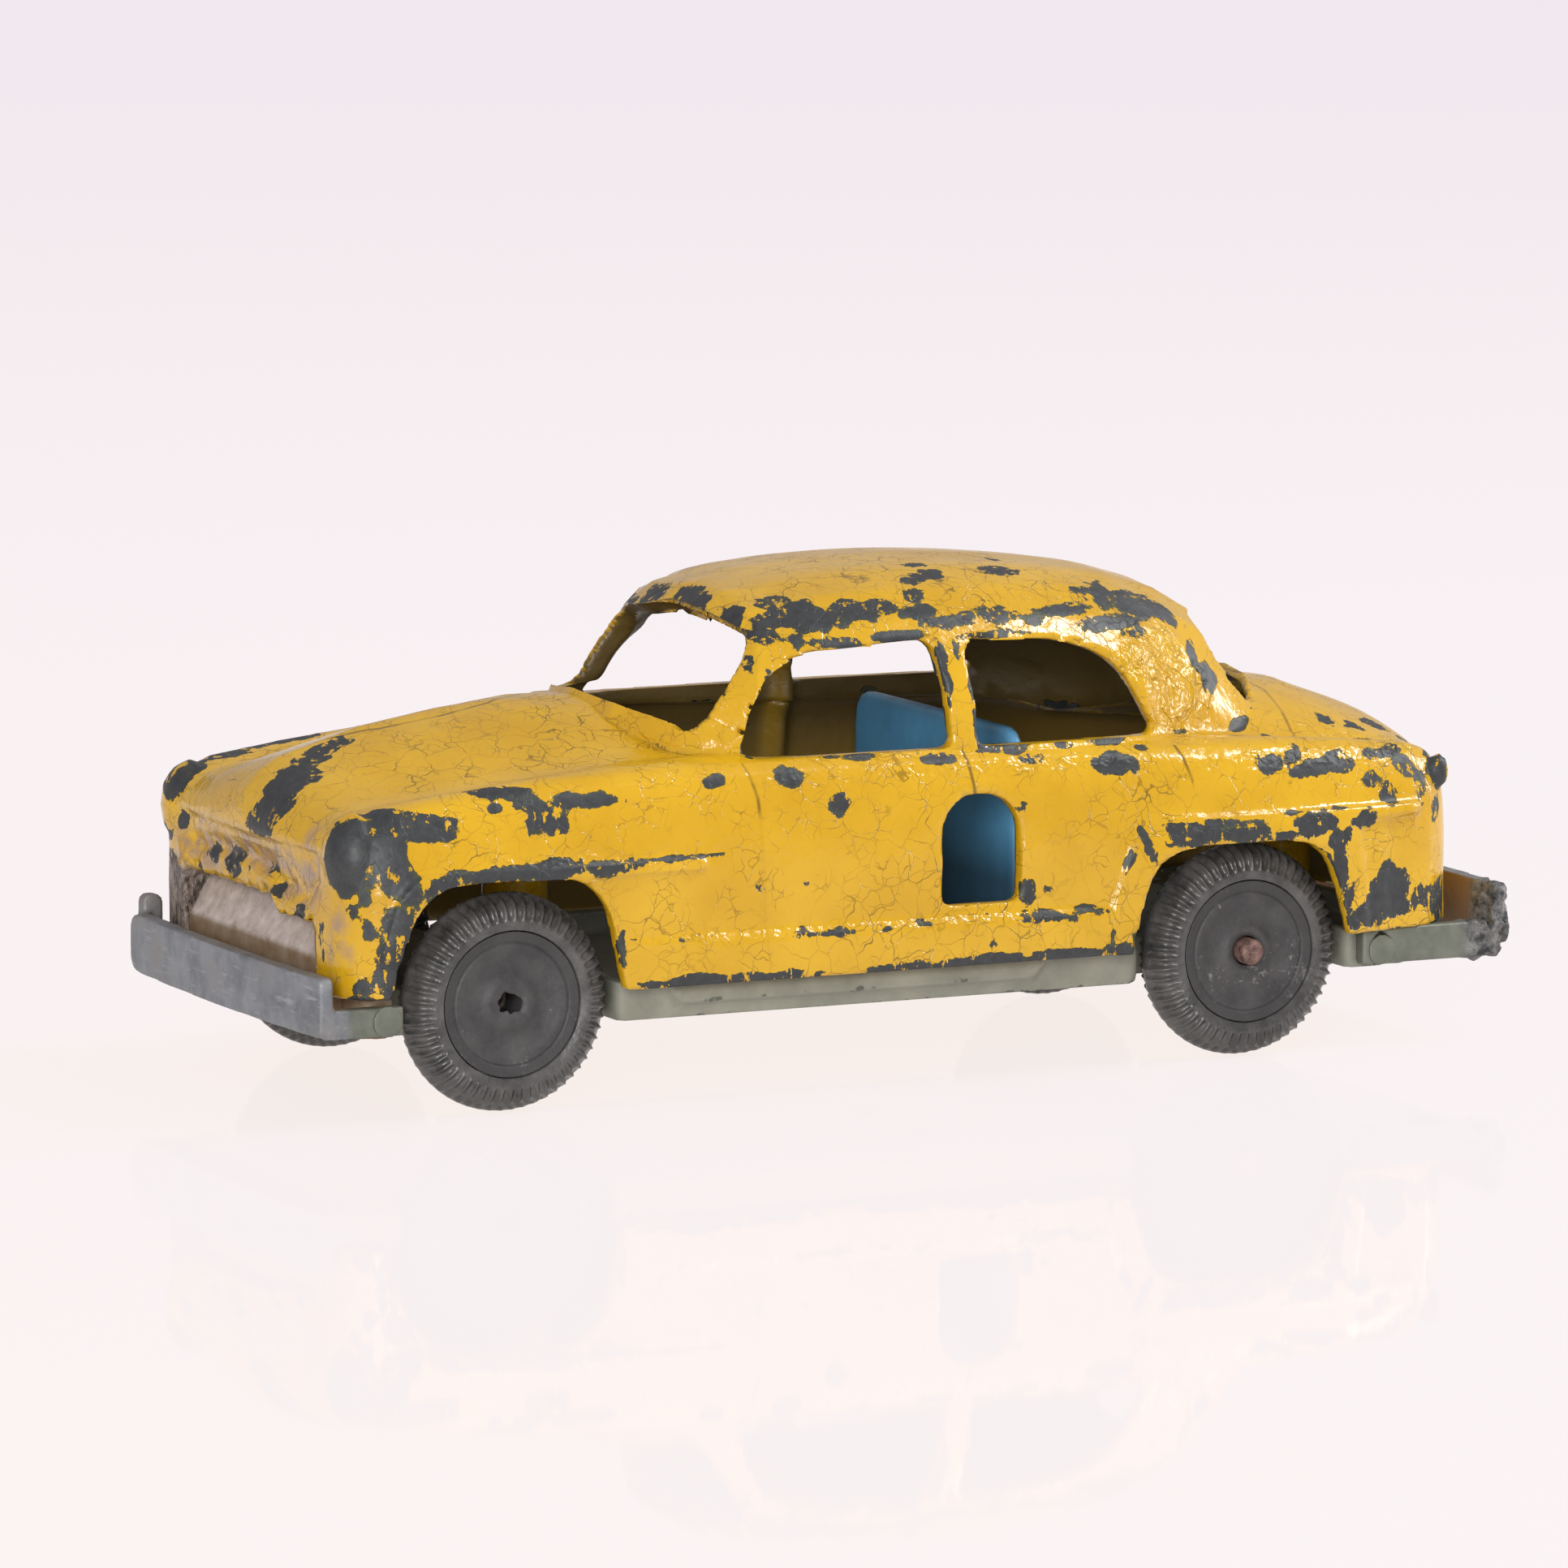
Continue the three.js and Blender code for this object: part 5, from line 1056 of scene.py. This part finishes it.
# Pale table sheet: it glows evenly to the eye, with a weak share that takes the light and so shows
# the shadow, and it mirrors a little. The light that it throws back on the car is matt and white.
AWAY = (-0.434, -0.9, 0.0)
MIRROR_SHARE = 0.08
pale, tree, spot = new_material("pale_table_sheet")
away = add(tree, "VectorMath", {0: spot, 1: AWAY}, operation="DOT_PRODUCT").outputs["Value"]
far = ramp(tree, away, -0.15, 1.1)
tint = mixed(tree, far, "#fff5ee", "#f6ecf0")
path = add(tree, "LightPath").outputs
seen = maths(tree, "MAXIMUM", path["Is Camera Ray"], path["Is Glossy Ray"])
seen = maths(tree, "MAXIMUM", seen, path["Is Transmission Ray"])
glow = add(tree, "Emission", {"Color": tint, "Strength": 0.98}).outputs[0]
matt = add(tree, "BsdfDiffuse", {"Color": linear("#e6e2e2")}).outputs[0]
weak = add(tree, "BsdfDiffuse", {"Color": linear("#31405a")}).outputs[0]
lit = add(tree, "AddShader", {0: glow, 1: weak}).outputs[0]
mirror = add(tree, "BsdfGlossy", {"Color": linear("#fff4ea"), "Roughness": 0.03}).outputs[0]
shown = add(tree, "MixShader", {0: MIRROR_SHARE, 1: lit, 2: mirror}).outputs[0]
sheet = add(tree, "MixShader", {0: seen, 1: matt, 2: shown}).outputs[0]
tree.links.new(sheet, tree.nodes["Material Output"].inputs["Surface"])
table.data.materials.append(pale)

# Studio light
# A small soft box overhead, a tall one behind the tail, a broad one beside the camera and an even
# pale surround.


def soft_box(name, place, aim, width, height, watts):
    """A rectangular soft light that shines from one point towards another."""
    bpy.ops.object.light_add(type="AREA", location=place)
    box = bpy.context.active_object
    box.name = name
    box.data.shape = "RECTANGLE"
    box.data.size = width
    box.data.size_y = height
    box.data.energy = watts
    box.rotation_euler = (Vector(aim) - Vector(place)).to_track_quat("-Z", "Y").to_euler()


soft_box("overhead_box", (-0.44, 0.16, 0.53), (0, 0, 0.02), width=0.18, height=0.14, watts=2.2)
soft_box("rear_box", (-0.66, 0.03, 0.26), (-0.02, 0, 0.025), width=0.1, height=0.34, watts=2.0)
soft_box("camera_box", (0.42, 0.62, 0.2), (0, 0, 0.02), width=0.36, height=0.24, watts=3.7)
world = bpy.data.worlds.new("pale_surround")
world.use_nodes = True
surround = world.node_tree.nodes["Background"]
surround.inputs["Color"].default_value = linear("#f4eff3")
surround.inputs["Strength"].default_value = 0.5
bpy.context.scene.world = world

# Camera
# A long lens, low beside the car's left front corner. Its place and focal length were fitted to
# the picture's perspective.

IMAGE_WIDTH = 1932
FOCAL_PIXELS = 12000
SENSOR = 36.0
AZIMUTH, ELEVATION, ROLL = math.radians(154.0), math.radians(7.858), math.radians(0.231)
DISTANCE = 0.7238
target = Vector((0.0033, 0, 0.02))
level = math.cos(ELEVATION)
back = Vector((math.sin(AZIMUTH) * level, -math.cos(AZIMUTH) * level, math.sin(ELEVATION)))
bpy.ops.object.camera_add(location=target + back * DISTANCE)
camera = bpy.context.active_object
camera.data.sensor_width = SENSOR
camera.data.lens = FOCAL_PIXELS / IMAGE_WIDTH * SENSOR
camera.data.clip_end = 20
upright = back.to_track_quat("Z", "Y").to_matrix()
camera.rotation_euler = (upright @ Matrix.Rotation(ROLL, 3, "Z")).to_euler()
bpy.context.scene.camera = camera

bpy.context.scene.view_settings.view_transform = "Standard"
